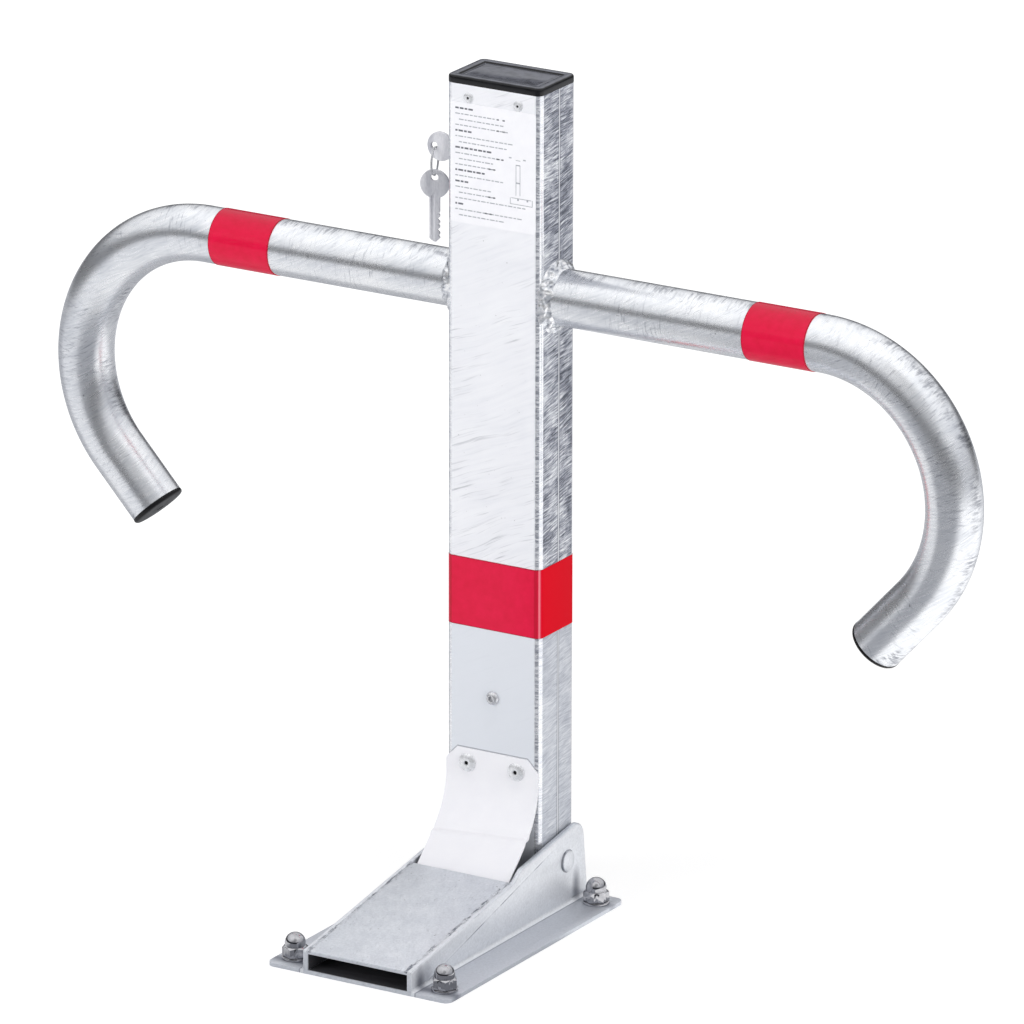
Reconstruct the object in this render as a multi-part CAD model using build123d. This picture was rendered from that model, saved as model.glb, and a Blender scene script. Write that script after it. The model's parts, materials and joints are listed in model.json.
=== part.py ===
from build123d import *
import os
from math import sin, cos, atan, radians, sqrt

os.makedirs("parts", exist_ok=True)

# A folding hoop barrier for a parking space.
# Millimetres, Z up, the post's axis at X = 0, Y = 0 and the ground at Z = 0. The ramp points to -Y.

# Post tube
post_width = 80.0
post_depth = 50.0
post_wall = 3.0
post_corner = 5.0
post_bottom = 12.0

# Top cap
cap_thick = 6.0
cap_edge = 1.5
cap_rim = 6.5
cap_recess = 1.4
cap_recess_corner = 2.5
skirt_depth = 20.0
skirt_wall = 2.5
skirt_corner = 1.0

# Arms
arm_diameter = 42.4
arm_wall = 2.5
arm_height = 474.0
arm_to_top = 156.5
arm_straight_end = 262.5
arm_bend_radius = 109.0
arm_bend_angle = 132.5
arm_tail = 49.0
arm_weld_leg = 6.0
arm_weld_dip = 2.1
plug_flange = 3.2
plug_edge = 1.2
plug_depth = 16.0
plug_wall = 2.0

# Red bands
film = 0.3
post_band_bottom = 217.0
post_band_height = 53.0
arm_band_right_start = 206.0
arm_band_left_start = 197.0
arm_band_width = 52.0

# Label
label_side = 4.0
label_height = 91.0
label_drop = 13.5
label_thick = 0.5
label_corner = 2.0

# Base
base_flange = 31.5
base_front = -215.0
base_rear = 35.0
base_thick = 3.0
base_corner = 6.0
anchor_hole = 11.0
anchor_edge_x = 14.0
anchor_edge_y = 17.5
cheek_gap = 2.5
cheek_thick = 4.0
cheek_round = 1.6
cheek_weld = 2.5
cheek_weld_hollow = 4.0
ramp_front_height = 18.6
ramp_rear = -70.5
ramp_rear_height = 42.2
ramp_thick = 3.0
ear_rise = 5.5
ear_rise_run = 10.0
ear_rise_right = -70.0
ear_rise_left = -44.0
ear_blend = 7.0
ear_rear_lean = 7.0
ear_corner = 12.0

# Pivot
pivot_y = 5.0
pivot_z = 36.5
pin_diameter = 12.0
pin_head = 16.0
pin_head_thick = 1.8
pin_head_edge = 0.7
sleeve_diameter = 20.0

# Anchor nuts and washers
washer_diameter = 20.0
washer_hole = 10.5
washer_thick = 2.0
washer_edge = 0.6
nut_flats = 17.0
nut_hex_height = 8.0
nut_height = 18.0
nut_dome = 15.6
nut_bore = 10.0
nut_bore_depth = 14.0
nut_bevel = 0.8
# Turn of each nut about its stud: front left, rear left, front right, rear right
nut_turns = [9, 24, 35, 4]

# Guard sheet over the gap between post and ramp
guard_side = 0.5
guard_thick = 1.2
guard_top = 122.0
guard_corner = 9.5
guard_bend_start = 104.0
guard_bend_radius = 56.0
guard_bend_angle = 46.0
guard_slope_run = 33.0
guard_lower_radius = 26.0
guard_tongue = 66.0

# Rivets and the front screw
guard_rivet_height = 111.0
guard_rivet_half_gap = 21.0
guard_rivet_head = 14.0
guard_rivet_head_thick = 2.2
guard_rivet_shank = 4.8
cap_rivet_drop = 9.5
cap_rivet_half_gap = 21.0
cap_rivet_head = 8.0
cap_rivet_head_thick = 1.4
cap_rivet_shank = 4.0
rivet_bulb_length = 5.0
rivet_bulb_grow = 1.0
rivet_mandrel = 1.6
screw_height = 164.5
screw_shank = 6.0
screw_head = 10.6
screw_head_thick = 3.2
screw_socket = 4.0
screw_socket_depth = 2.0
screw_length = 12.0

# Lock
lock_y = -3.0
lock_over_arm = 99.4
lock_flange = 24.0
lock_flange_thick = 3.0
lock_flange_edge = 1.2
lock_barrel = 18.0
lock_barrel_length = 27.0
lock_nut_diameter = 25.0
lock_nut_thick = 5.0
plug_diameter = 12.0
plug_proud = 1.0
cam_diameter = 18.0
cam_thick = 2.8
cam_pin = 4.0

# Keys and ring
key_bow_radius = 11.0
key_thick = 2.2
key_hole = 5.5
key_hole_offset = 5.2
key_length = 55.0
key_blade_width = 8.0
key_shoulder = 8.8
key_tip = 2.8
key_tooth_pitch = 4.2
key_cuts = [1.1, 1.8, 1.1, 1.8, 1.1]
key_groove = 2.0
key_groove_depth = 0.6
key_groove_offset = 1.2
key_out = 18.1
ring_radius = 10.5
ring_wire = 1.6
ring_turn = 17.7

# Latch
latch_travel = 8.0
latch_front_gap = 2.0
latch_thick = 12.0
rod_cam_gap = 0.6
rod_thick = 5.0
rod_head_width = 21.0
rod_head_height = 26.0
bolt_width = 36.0
bolt_tip = 13.0
bolt_length = 78.0
bolt_socket = 22.0
bolt_pin = 5.0
bolt_chamfer = 2.0
bolt_guide_bottom = 50.0
bolt_guide_height = 34.0
rod_guide_height = 26.0

# Stop bar behind the post's foot
stop_top = 16.0
stop_depth = 8.0

# Sprung buffer in the ramp
carriage_width = 60.0
carriage_foot_top = 11.7
carriage_foot_length = 16.0
carriage_head_thick = 10.0
carriage_head_top = 21.0
buffer_axis_z = 12.2
buffer_rod = 8.0
abutment_y = -130.0
abutment_thick = 6.0
abutment_top = 22.0
spring_diameter = 17.0
spring_wire = 2.8
spring_turns = 9
buffer_nut_flats = 13.0
buffer_nut_thick = 6.5
buffer_rod_over = 3.0

# Clearances
running = 0.05
slide_gap = 0.1
loose = 0.2
free_gap = 0.3
ring_play = 0.4

half_width = post_width / 2
half_depth = post_depth / 2
arm_radius = arm_diameter / 2
front_face = -half_depth
post_top = arm_height + arm_to_top
lock_z = arm_height + lock_over_arm
cap_rivet_height = post_top - cap_rivet_drop
label_width = post_width - 2 * label_side
label_bottom = post_top - label_drop - label_height
ramp_slope = (ramp_rear_height - ramp_front_height) / (ramp_rear - base_front)
cheek_inner = half_width + cheek_gap
cheek_outer = cheek_inner + cheek_thick
base_width = 2 * (cheek_outer + base_flange)
guard_half_width = half_width - guard_side
latch_y = front_face + post_wall + latch_front_gap + latch_thick / 2
cam_face = -half_width + lock_barrel_length + slide_gap
rod_x = cam_face + cam_thick + rod_cam_gap + rod_thick / 2
cam_radius = latch_travel / sqrt(2)
low = (Align.CENTER, Align.CENTER, Align.MIN)


def ramp_top(y):
    return ramp_front_height + (y - base_front) * ramp_slope


def rod_along(direction, start, radius, length):
    """A cylinder from a start point along a direction."""
    return Plane(origin=start, z_dir=direction) * Cylinder(radius, length, align=low)


def block(x0, x1, y0, y1, z0, z1):
    """A box between two corners."""
    return Pos(x0, y0, z0) * Box(x1 - x0, y1 - y0, z1 - z0, align=(Align.MIN, Align.MIN, Align.MIN))


def prism(width, depth, corner, z0, z1):
    """An upright prism with rounded corners about the post's axis."""
    return Pos(0, 0, z0) * extrude(RectangleRounded(width, depth, corner), z1 - z0)


def turned(points, origin, direction):
    """A solid of revolution: points are (radius, distance along the direction)."""
    profile = make_face(Polyline(*[(r, 0, z) for r, z in points], close=True))
    return Plane(origin=origin, z_dir=direction) * revolve(profile, Axis.Z)


def post_outline(z0, z1, grow=0.0):
    return prism(post_width + 2 * grow, post_depth + 2 * grow, post_corner + grow, z0, z1)


def post_bore(z0, z1, gap=0.0):
    inset = post_wall + gap
    return prism(post_width - 2 * inset, post_depth - 2 * inset, post_corner - post_wall, z0, z1)


def post_tube():
    tube = post_outline(post_bottom, post_top) - post_bore(post_bottom, post_top)
    tube -= rod_along((1, 0, 0), (-half_width, pivot_y, pivot_z), sleeve_diameter / 2 + running, post_width)
    tube -= rod_along((1, 0, 0), (-half_width, lock_y, lock_z), lock_barrel / 2 + slide_gap, post_wall)
    tube -= rod_along((0, 1, 0), (0, front_face, screw_height), screw_shank / 2 + slide_gap, post_wall)
    for x, z, shank in rivet_places():
        tube -= rod_along((0, 1, 0), (x, front_face, z), shank / 2 + running, post_wall)
    return tube


def rivet_places():
    places = []
    for side in (-1, 1):
        places.append((side * guard_rivet_half_gap, guard_rivet_height, guard_rivet_shank))
        places.append((side * cap_rivet_half_gap, cap_rivet_height, cap_rivet_shank))
    return places


def top_cap():
    top = post_top + cap_thick
    plate = post_outline(post_top, top)
    plate = fillet(plate.edges().group_by(Axis.Z)[-1], cap_edge)
    recess = prism(post_width - 2 * cap_rim, post_depth - 2 * cap_rim, cap_recess_corner,
                   top - cap_recess, top)
    skirt_bottom = post_top - skirt_depth
    skirt_inset = 2 * (post_wall + loose + skirt_wall)
    skirt = post_bore(skirt_bottom, post_top, loose)
    skirt -= prism(post_width - skirt_inset, post_depth - skirt_inset, skirt_corner, skirt_bottom, post_top)
    cap = plate - recess + skirt
    for side in (-1, 1):
        start = (side * cap_rivet_half_gap, front_face + post_wall, cap_rivet_height)
        cap -= rod_along((0, 1, 0), start, cap_rivet_shank / 2 + running, loose + skirt_wall)
    return cap


def arm_path(start):
    """The right arm's centre line: a straight run, a bend down and back, and a short tail."""
    bend_end = radians(arm_bend_angle)
    run = Line((start, 0, arm_height), (arm_straight_end, 0, arm_height))
    x = arm_straight_end + arm_bend_radius * sin(bend_end)
    z = arm_height - arm_bend_radius * (1 - cos(bend_end))
    bend = TangentArc((arm_straight_end, 0, arm_height), (x, 0, z), tangent=(1, 0, 0))
    tail = Line((x, 0, z), (x + arm_tail * cos(bend_end), 0, z - arm_tail * sin(bend_end)))
    return run, bend, tail


def arm_end():
    """The end point of the right arm and the direction that it points in there."""
    tail = arm_path(half_width)[2]
    return tail @ 1, tail % 1


def arm_rod(radius):
    start = half_width - post_corner
    path = Wire(list(arm_path(start)))
    return sweep(Plane(origin=(start, 0, arm_height), z_dir=(1, 0, 0)) * Circle(radius), path)


def right_arm():
    tube = arm_rod(arm_radius) - arm_rod(arm_radius - arm_wall)
    return tube - post_outline(post_bottom, post_top)


def right_weld():
    """A concave fillet bead between the arm and the post, wrapped onto the post's round corners."""
    leg = arm_weld_leg
    start = half_width - post_corner
    foot = post_corner
    ring = turned([(arm_radius, 0), (arm_radius + leg, 0), (arm_radius + leg, foot),
                   (arm_radius + arm_weld_dip, foot + arm_weld_dip), (arm_radius, foot + leg)],
                  (start, 0, arm_height), (1, 0, 0))
    ring -= post_outline(post_bottom, post_top)
    return ring & block(0, post_width, -half_depth, half_depth, post_bottom, post_top)


def right_plug():
    end, direction = arm_end()
    flange = rod_along(direction, end, arm_radius, plug_flange)
    flange = fillet(flange.edges().sort_by(Axis((end.X, end.Y, end.Z), tuple(direction)))[-1:], plug_edge)
    insert_radius = arm_radius - arm_wall - loose
    back = direction * -1
    insert = rod_along(back, end, insert_radius, plug_depth)
    insert -= rod_along(back, end, insert_radius - plug_wall, plug_depth)
    return flange + insert


def arm_band(from_x):
    """A film wrapped round the right arm's straight run."""
    start = (from_x, 0, arm_height)
    inner = arm_radius + slide_gap
    outer = rod_along((1, 0, 0), start, inner + film, arm_band_width)
    return outer - rod_along((1, 0, 0), start, inner, arm_band_width)


def mirrored(shape):
    return mirror(shape, Plane.YZ)


def post_band():
    top = post_band_bottom + post_band_height
    return post_outline(post_band_bottom, top, film) - post_outline(post_band_bottom, top)


def label():
    sheet = extrude(RectangleRounded(label_width, label_height, label_corner), label_thick)
    middle = label_bottom + label_height / 2
    return Plane(origin=(0, front_face, middle), x_dir=(1, 0, 0), z_dir=(0, -1, 0)) * sheet


def blind_rivet(x, z, head, head_thick, shank, grip, seat):
    """A domed blind rivet: seat is the Y of the head's underside, grip the depth that it clamps."""
    r, s = head / 2, shank / 2
    hole = rivet_mandrel / 2
    bulb = s + rivet_bulb_grow
    points = [(0, -grip - rivet_bulb_length), (s, -grip - rivet_bulb_length), (bulb, -grip - rivet_bulb_grow),
              (s, -grip), (s, 0), (r, 0), (r, head_thick * 0.3), (r * 0.8, head_thick * 0.75),
              (r * 0.5, head_thick), (hole, head_thick), (hole, head_thick * 0.4), (0, head_thick * 0.4)]
    return turned(points, (x, seat, z), (0, -1, 0))


def cap_rivets():
    grip = post_wall + loose + skirt_wall
    return [blind_rivet(side * cap_rivet_half_gap, cap_rivet_height, cap_rivet_head, cap_rivet_head_thick,
                        cap_rivet_shank, grip, front_face) for side in (-1, 1)]


def guard_rivets():
    seat = front_face - guard_thick
    grip = post_wall + guard_thick
    return [blind_rivet(side * guard_rivet_half_gap, guard_rivet_height, guard_rivet_head,
                        guard_rivet_head_thick, guard_rivet_shank, grip, seat) for side in (-1, 1)]


def front_screw():
    r, s, t = screw_head / 2, screw_shank / 2, screw_head_thick
    outline = [(0, -screw_length), (s, -screw_length), (s, 0), (r, 0), (r, 0.25 * t), (0.86 * r, 0.62 * t),
               (0.6 * r, t), (0, t)]
    body = turned(outline, (0, front_face, screw_height), (0, -1, 0))
    socket = extrude(RegularPolygon(screw_socket / 2, 6, major_radius=False), -screw_socket_depth)
    return body - Plane(origin=(0, front_face - t, screw_height), z_dir=(0, -1, 0)) * socket


def guard_line(offset):
    """The guard's edge line, offset back from its front face: points from top to bottom, and its turns."""
    turn = radians(guard_bend_angle)
    rest = radians(90) - atan(ramp_slope)
    y0 = front_face - guard_thick
    r1, r2 = guard_bend_radius, guard_lower_radius
    b = (y0, guard_bend_start)
    c = (b[0] - r1 * (1 - cos(turn)), b[1] - r1 * sin(turn))
    d = (c[0] - guard_slope_run * sin(turn), c[1] - guard_slope_run * cos(turn))
    e = (d[0] - r2 * (cos(turn) - cos(rest)), d[1] - r2 * (sin(rest) - sin(turn)))
    f = (e[0] - guard_tongue * sin(rest), e[1] - guard_tongue * cos(rest))
    angles = [0, 0, turn, turn, rest, rest]
    points = [(y0, guard_top), b, c, d, e, f]
    return [(y + offset * cos(t), z - offset * sin(t)) for (y, z), t in zip(points, angles)], angles


def guard_edge(offset):
    points, angles = guard_line(offset)
    a, b, c, d, e, f = points
    return [Line(a, b), TangentArc(b, c, tangent=(0, -1)), Line(c, d),
            TangentArc(d, e, tangent=(-sin(angles[3]), -cos(angles[3]))), Line(e, f)], a, f


def guard_sheet():
    """The guard: flat under its rivets, then curved forward and down, with a tongue under the ramp plate."""
    front, front_top, front_end = guard_edge(0)
    back, back_top, back_end = guard_edge(guard_thick)
    outline = make_face(front + back + [Line(front_top, back_top), Line(front_end, back_end)])
    sheet = extrude(Plane.YZ.offset(-guard_half_width) * outline, 2 * guard_half_width)
    corners = [e for e in sheet.edges().filter_by(Axis.Y) if e.center().Z > guard_top - 1]
    sheet = chamfer(corners, guard_corner)
    for side in (-1, 1):
        start = (side * guard_rivet_half_gap, front_face - guard_thick, guard_rivet_height)
        sheet -= rod_along((0, 1, 0), start, guard_rivet_shank / 2 + running, guard_thick)
    return sheet


def base_plate():
    length = base_rear - base_front
    middle = (base_rear + base_front) / 2
    plate = Pos(0, middle, 0) * extrude(RectangleRounded(base_width, length, base_corner), base_thick)
    for x, y in anchor_places():
        plate -= rod_along((0, 0, 1), (x, y, 0), anchor_hole / 2, base_thick)
    return plate


def anchor_places():
    x = base_width / 2 - anchor_edge_x
    ends = (base_front + anchor_edge_y, base_rear - anchor_edge_y)
    return [(side * x, y) for side in (-1, 1) for y in ends]


def cheek(side, rise_y):
    """A side plate of the base: it follows the ramp, then steps up to the ear that holds the pivot."""
    rise_end = rise_y + ear_rise_run
    back = base_rear - ear_rear_lean
    points = [(base_front, base_thick), (base_front, ramp_front_height), (rise_y, ramp_top(rise_y)),
              (rise_end, ramp_top(rise_end) + ear_rise), (back, ramp_top(back) + ear_rise),
              (base_rear, base_thick)]
    face = make_face(Polyline(*points, close=True))
    for y, radius in ((rise_y, ear_blend), (rise_end, ear_blend), (back, ear_corner)):
        face = fillet([v for v in face.vertices() if abs(v.X - y) < 0.01 and v.Z < 1][:1], radius)
    x = cheek_inner if side > 0 else -cheek_outer
    plate = extrude(Plane.YZ.offset(x) * face, cheek_thick)
    outer = side * cheek_outer
    outer_edges = [e for e in plate.edges() if abs(e.center().X - outer) < 0.01]
    top_edges = [e for e in outer_edges if e.center().Z > ramp_front_height / 2]
    plate = fillet([e for e in top_edges if base_front + 0.01 < e.center().Y < back], cheek_round)
    return plate - rod_along((1, 0, 0), (x, pivot_y, pivot_z), pin_diameter / 2 + running, cheek_thick)


def base_welds():
    """A fillet bead along the foot of each cheek."""
    leg = cheek_weld
    beads = []
    for side in (-1, 1):
        corner = (side * cheek_outer, base_thick)
        toe = (corner[0] + side * leg, corner[1])
        upper = (corner[0], corner[1] + leg)
        hollow = RadiusArc(toe, upper, side * cheek_weld_hollow)
        profile = make_face([Line(corner, toe), hollow, Line(upper, corner)])
        front = Plane(origin=(0, base_front, 0), x_dir=(1, 0, 0), z_dir=(0, -1, 0))
        beads.append(extrude(front * profile, base_front - base_rear))
    return beads


def ramp_plate():
    drop = ramp_thick * sqrt(1 + ramp_slope ** 2)
    points = [(base_front, ramp_front_height), (ramp_rear, ramp_rear_height),
              (ramp_rear, ramp_rear_height - drop), (base_front, ramp_front_height - drop)]
    outline = make_face(Polyline(*points, close=True))
    return extrude(Plane.YZ.offset(-cheek_inner) * outline, 2 * cheek_inner)


def stop_bar():
    y = half_depth + slide_gap
    return block(-cheek_inner, cheek_inner, y, y + stop_depth, base_thick, stop_top)


def pivot_pin():
    x = cheek_outer
    pin = rod_along((1, 0, 0), (-x, pivot_y, pivot_z), pin_diameter / 2, 2 * x)
    for side in (-1, 1):
        head = rod_along((side, 0, 0), (side * x, pivot_y, pivot_z), pin_head / 2, pin_head_thick)
        pin += fillet(head.edges().group_by(Axis.X)[0 if side < 0 else -1], pin_head_edge)
    return pin


def pivot_sleeve():
    x = cheek_inner - free_gap
    outer = rod_along((1, 0, 0), (-x, pivot_y, pivot_z), sleeve_diameter / 2, 2 * x)
    return outer - rod_along((1, 0, 0), (-x, pivot_y, pivot_z), pin_diameter / 2 + running, 2 * x)


def washers():
    ring = Cylinder(washer_diameter / 2, washer_thick, align=low)
    ring -= Cylinder(washer_hole / 2, washer_thick, align=low)
    ring = fillet(ring.edges().group_by(Axis.Z)[-1].sort_by(SortBy.RADIUS)[-1:], washer_edge)
    return [Pos(x, y, base_thick) * ring for x, y in anchor_places()]


def cap_nut():
    """A closed domed nut: a hexagon with turned corners below a dome on a short neck."""
    across = nut_flats / 2
    corner = across / cos(radians(30))
    hexagon = extrude(RegularPolygon(across, 6, major_radius=False), nut_hex_height)
    rim = [(0, 0), (corner - nut_bevel, 0), (corner, nut_bevel), (corner, nut_hex_height - nut_bevel),
           (across, nut_hex_height), (0, nut_hex_height)]
    hexagon &= turned(rim, (0, 0, 0), (0, 0, 1))
    r = nut_dome / 2
    straight = nut_height - r
    dome = Cylinder(r, straight, align=low) + Pos(0, 0, straight) * Sphere(r)
    dome &= Cylinder(corner, nut_height, align=low)
    return hexagon + dome - Cylinder(nut_bore / 2, nut_bore_depth, align=low)


def cap_nuts():
    seat = base_thick + washer_thick
    nuts = []
    for (x, y), turn in zip(anchor_places(), nut_turns):
        nuts.append(Pos(x, y, seat) * Rot(0, 0, turn) * cap_nut())
    return nuts


def lock_body():
    start = (-half_width - lock_flange_thick, lock_y, lock_z)
    length = lock_flange_thick + lock_barrel_length
    flange = rod_along((1, 0, 0), start, lock_flange / 2, lock_flange_thick)
    flange = fillet(flange.edges().group_by(Axis.X)[0], lock_flange_edge)
    body = flange + rod_along((1, 0, 0), start, lock_barrel / 2, length)
    return body - rod_along((1, 0, 0), start, plug_diameter / 2 + running, length)


def lock_nut():
    start = (-half_width + post_wall, lock_y, lock_z)
    nut = rod_along((1, 0, 0), start, lock_nut_diameter / 2, lock_nut_thick)
    return nut - rod_along((1, 0, 0), start, lock_barrel / 2 + running, lock_nut_thick)


def lock_plug():
    start = (-half_width - lock_flange_thick - plug_proud, lock_y, lock_z)
    plug = rod_along((1, 0, 0), start, plug_diameter / 2, cam_face - start[0])
    keyway = key_blade_width / 2 + slide_gap
    half = key_thick / 2 + slide_gap
    return plug - block(start[0], cam_face, lock_y - half, lock_y + half, lock_z - keyway, lock_z + keyway)


def lock_cam():
    """The disc behind the plug, with the pin that lifts and drops the pull rod."""
    disc = rod_along((1, 0, 0), (cam_face, lock_y, lock_z), cam_diameter / 2, cam_thick)
    step = cam_radius * cos(radians(45))
    reach = rod_x + rod_thick / 2 + slide_gap - cam_face
    return disc + rod_along((1, 0, 0), (cam_face, lock_y - step, lock_z + step), cam_pin / 2, reach)


def key():
    """A flat key: its bow's centre at the origin and its blade along +X."""
    half = key_thick / 2
    bow = Circle(key_bow_radius)
    blade_end = key_length - key_bow_radius
    w = key_blade_width / 2
    blade = Pos(key_shoulder, -w) * Rectangle(blade_end - key_shoulder, 2 * w, align=(Align.MIN, Align.MIN))
    shape = bow + blade - Pos(-key_hole_offset, 0) * Circle(key_hole / 2)
    for side in (-1, 1):
        corner = make_face(Polyline((blade_end, side * w), (blade_end - key_tip, side * w),
                                    (blade_end, side * (w - key_tip)), close=True))
        shape -= corner
    for i, depth in enumerate(key_cuts):
        x = blade_end - key_tip - key_tooth_pitch * (i + 0.5)
        notch = make_face(Polyline((x - depth, w), (x, w - depth), (x + depth, w), close=True))
        shape -= notch
    blank = extrude(Plane(origin=(0, half, 0), x_dir=(1, 0, 0), z_dir=(0, -1, 0)) * shape, key_thick)
    low_edge = -key_groove / 2 - key_groove_offset
    for y in (-half, half - key_groove_depth):
        blank -= block(key_shoulder, blade_end, y, y + key_groove_depth, low_edge, low_edge + key_groove)
    return blank


def key_in_lock():
    return Pos(-half_width - key_out, lock_y, lock_z) * key()


def ring_centre():
    x = -half_width - key_out - key_hole_offset
    return x, lock_y, lock_z - key_hole / 2 + ring_wire / 2 + ring_play - ring_radius


def key_ring():
    turn = radians(ring_turn)
    return Plane(origin=ring_centre(), z_dir=(cos(turn), sin(turn), 0)) * Torus(ring_radius, ring_wire / 2)


def hanging_key():
    x, y, z = ring_centre()
    hole_z = z - ring_radius + ring_wire / 2 + ring_play - key_hole / 2
    return Pos(x, y, hole_z - key_hole_offset) * Rot(0, 0, ring_turn) * Rot(0, 90, 0) * key()


def pull_rod():
    """A flat bar down the post, with a slotted head that the cam's pin works in."""
    x0 = rod_x - rod_thick / 2
    x1 = rod_x + rod_thick / 2
    y0 = latch_y - latch_thick / 2
    step = cam_radius * cos(radians(45))
    slot_z = lock_z + step
    bottom = bolt_tip + bolt_length - bolt_socket
    bar = block(x0, x1, y0, y0 + latch_thick, bottom, slot_z - rod_head_height / 2)
    head = block(x0, x1, y0, y0 + rod_head_width, slot_z - rod_head_height / 2, slot_z + rod_head_height / 2)
    slot_half = cam_pin / 2 + 2 * loose
    pin_near = lock_y - step
    pin_far = lock_y - cam_radius
    slot = block(x0, x1, pin_far - slot_half, pin_near + slot_half, slot_z - slot_half, slot_z + slot_half)
    hole = rod_along((1, 0, 0), (x0, latch_y, bolt_pin_z()), bolt_pin / 2 + running, rod_thick)
    return bar + head - slot - hole


def bolt_pin_z():
    return bolt_tip + bolt_length - bolt_socket / 2


def bolt():
    """The bolt that drops behind the sprung block: a bar with a fork for the pull rod."""
    y0 = latch_y - latch_thick / 2
    body = block(-bolt_width / 2, bolt_width / 2, y0, y0 + latch_thick, bolt_tip, bolt_tip + bolt_length)
    foot = [e for e in body.edges().filter_by(Axis.X) if e.center().Z < bolt_tip + 1]
    body = chamfer(foot, bolt_chamfer)
    x0 = rod_x - rod_thick / 2
    top = bolt_tip + bolt_length
    body -= block(x0, x0 + rod_thick, y0, y0 + latch_thick, top - bolt_socket, top)
    start = (-bolt_width / 2, latch_y, bolt_pin_z())
    return body - rod_along((1, 0, 0), start, bolt_pin / 2 + running, bolt_width)


def latch_pin():
    return rod_along((1, 0, 0), (-bolt_width / 2, latch_y, bolt_pin_z()), bolt_pin / 2, bolt_width)


def bolt_guide():
    top = bolt_guide_bottom + bolt_guide_height
    half_x = bolt_width / 2 + slide_gap
    half_y = latch_thick / 2 + slide_gap
    guide = post_bore(bolt_guide_bottom, top, loose)
    return guide - block(-half_x, half_x, latch_y - half_y, latch_y + half_y, bolt_guide_bottom, top)


def rod_guide():
    bottom = screw_height - rod_guide_height / 2
    top = bottom + rod_guide_height
    half_x = rod_thick / 2 + slide_gap
    half_y = latch_thick / 2 + slide_gap
    guide = post_bore(bottom, top, loose)
    guide -= block(rod_x - half_x, rod_x + half_x, latch_y - half_y, latch_y + half_y, bottom, top)
    depth = screw_length - post_wall + loose
    start = (0, front_face + post_wall, screw_height)
    return guide - rod_along((0, 1, 0), start, screw_shank / 2 + running, depth)


def carriage_rear():
    return latch_y - latch_thick / 2 - free_gap


def carriage():
    """The sprung block in the base: a low foot under the post and a head that the spring pushes on."""
    y2 = carriage_rear()
    y1 = y2 - carriage_foot_length
    y0 = y1 - carriage_head_thick
    half = carriage_width / 2
    z0 = base_thick + slide_gap
    foot = block(-half, half, y1, y2, z0, carriage_foot_top)
    return foot + block(-half, half, y0, y1, z0, carriage_head_top)


def carriage_front():
    return carriage_rear() - carriage_foot_length - carriage_head_thick


def buffer_rod_bar():
    front = abutment_y - abutment_thick - buffer_nut_thick - slide_gap - buffer_rod_over
    return rod_along((0, 1, 0), (0, front, buffer_axis_z), buffer_rod / 2, carriage_front() - front)


def buffer_nut():
    face = abutment_y - abutment_thick - slide_gap
    nut = extrude(RegularPolygon(buffer_nut_flats / 2, 6, major_radius=False), buffer_nut_thick)
    nut -= Cylinder(buffer_rod / 2 + running, buffer_nut_thick, align=low)
    return Plane(origin=(0, face, buffer_axis_z), z_dir=(0, -1, 0)) * nut


def abutment():
    front = abutment_y - abutment_thick
    plate = block(-cheek_inner, cheek_inner, front, abutment_y, base_thick, abutment_top)
    start = (0, front, buffer_axis_z)
    return plate - rod_along((0, 1, 0), start, buffer_rod / 2 + running, abutment_thick)


def buffer_spring():
    """A compression spring between the abutment and the carriage."""
    gap = slide_gap + spring_wire / 2
    length = carriage_front() - abutment_y - 2 * gap
    mean = (spring_diameter - spring_wire) / 2
    coil = Helix(pitch=length / spring_turns, height=length, radius=mean)
    wire = sweep(Plane(origin=coil @ 0, z_dir=coil % 0) * Circle(spring_wire / 2), coil)
    return Plane(origin=(0, abutment_y + gap, buffer_axis_z), z_dir=(0, 1, 0)) * wire


pieces = {
    "post_tube": post_tube(),
    "top_cap": top_cap(),
    "cap_rivets": cap_rivets(),
    "arm_right": right_arm(),
    "arm_left": mirrored(right_arm()),
    "arm_weld_right": right_weld(),
    "arm_weld_left": mirrored(right_weld()),
    "end_plug_right": right_plug(),
    "end_plug_left": mirrored(right_plug()),
    "band_right": arm_band(arm_band_right_start),
    "band_left": mirrored(arm_band(arm_band_left_start)),
    "band_post": post_band(),
    "label": label(),
    "front_screw": front_screw(),
    "guard_sheet": guard_sheet(),
    "guard_rivets": guard_rivets(),
    "pivot_sleeve": pivot_sleeve(),
    "bolt_guide": bolt_guide(),
    "rod_guide": rod_guide(),
    "lock_body": lock_body(),
    "lock_nut": lock_nut(),
    "lock_plug": lock_plug(),
    "lock_cam": lock_cam(),
    "key_in_lock": key_in_lock(),
    "key_ring": key_ring(),
    "hanging_key": hanging_key(),
    "pull_rod": pull_rod(),
    "bolt": bolt(),
    "latch_pin": latch_pin(),
    "base_plate": base_plate(),
    "cheek_right": cheek(1, ear_rise_right),
    "cheek_left": cheek(-1, ear_rise_left),
    "base_welds": base_welds(),
    "ramp_plate": ramp_plate(),
    "stop_bar": stop_bar(),
    "pivot_pin": pivot_pin(),
    "washers": washers(),
    "cap_nuts": cap_nuts(),
    "carriage": carriage(),
    "buffer_rod": buffer_rod_bar(),
    "buffer_nut": buffer_nut(),
    "abutment": abutment(),
    "buffer_spring": buffer_spring(),
}

for name, piece in pieces.items():
    solids = [s for p in piece for s in p.solids()] if isinstance(piece, list) else list(piece.solids())
    export_step(solids[0] if len(solids) == 1 else Compound(children=solids), f"parts/{name}.step")
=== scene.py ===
# %% [markdown]
# # A folding hoop barrier for a parking space
# The real object is a steel post with two bent arms on a ramp-shaped base. Nearly all of it is hot-dip
# galvanised steel, so most of the work goes into bent tubes, rounded edges, welds and a zinc surface that
# looks dipped. The exact solids come from CAD, and this lesson builds the finished look around them, in
# metres and in the same frame.

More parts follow.
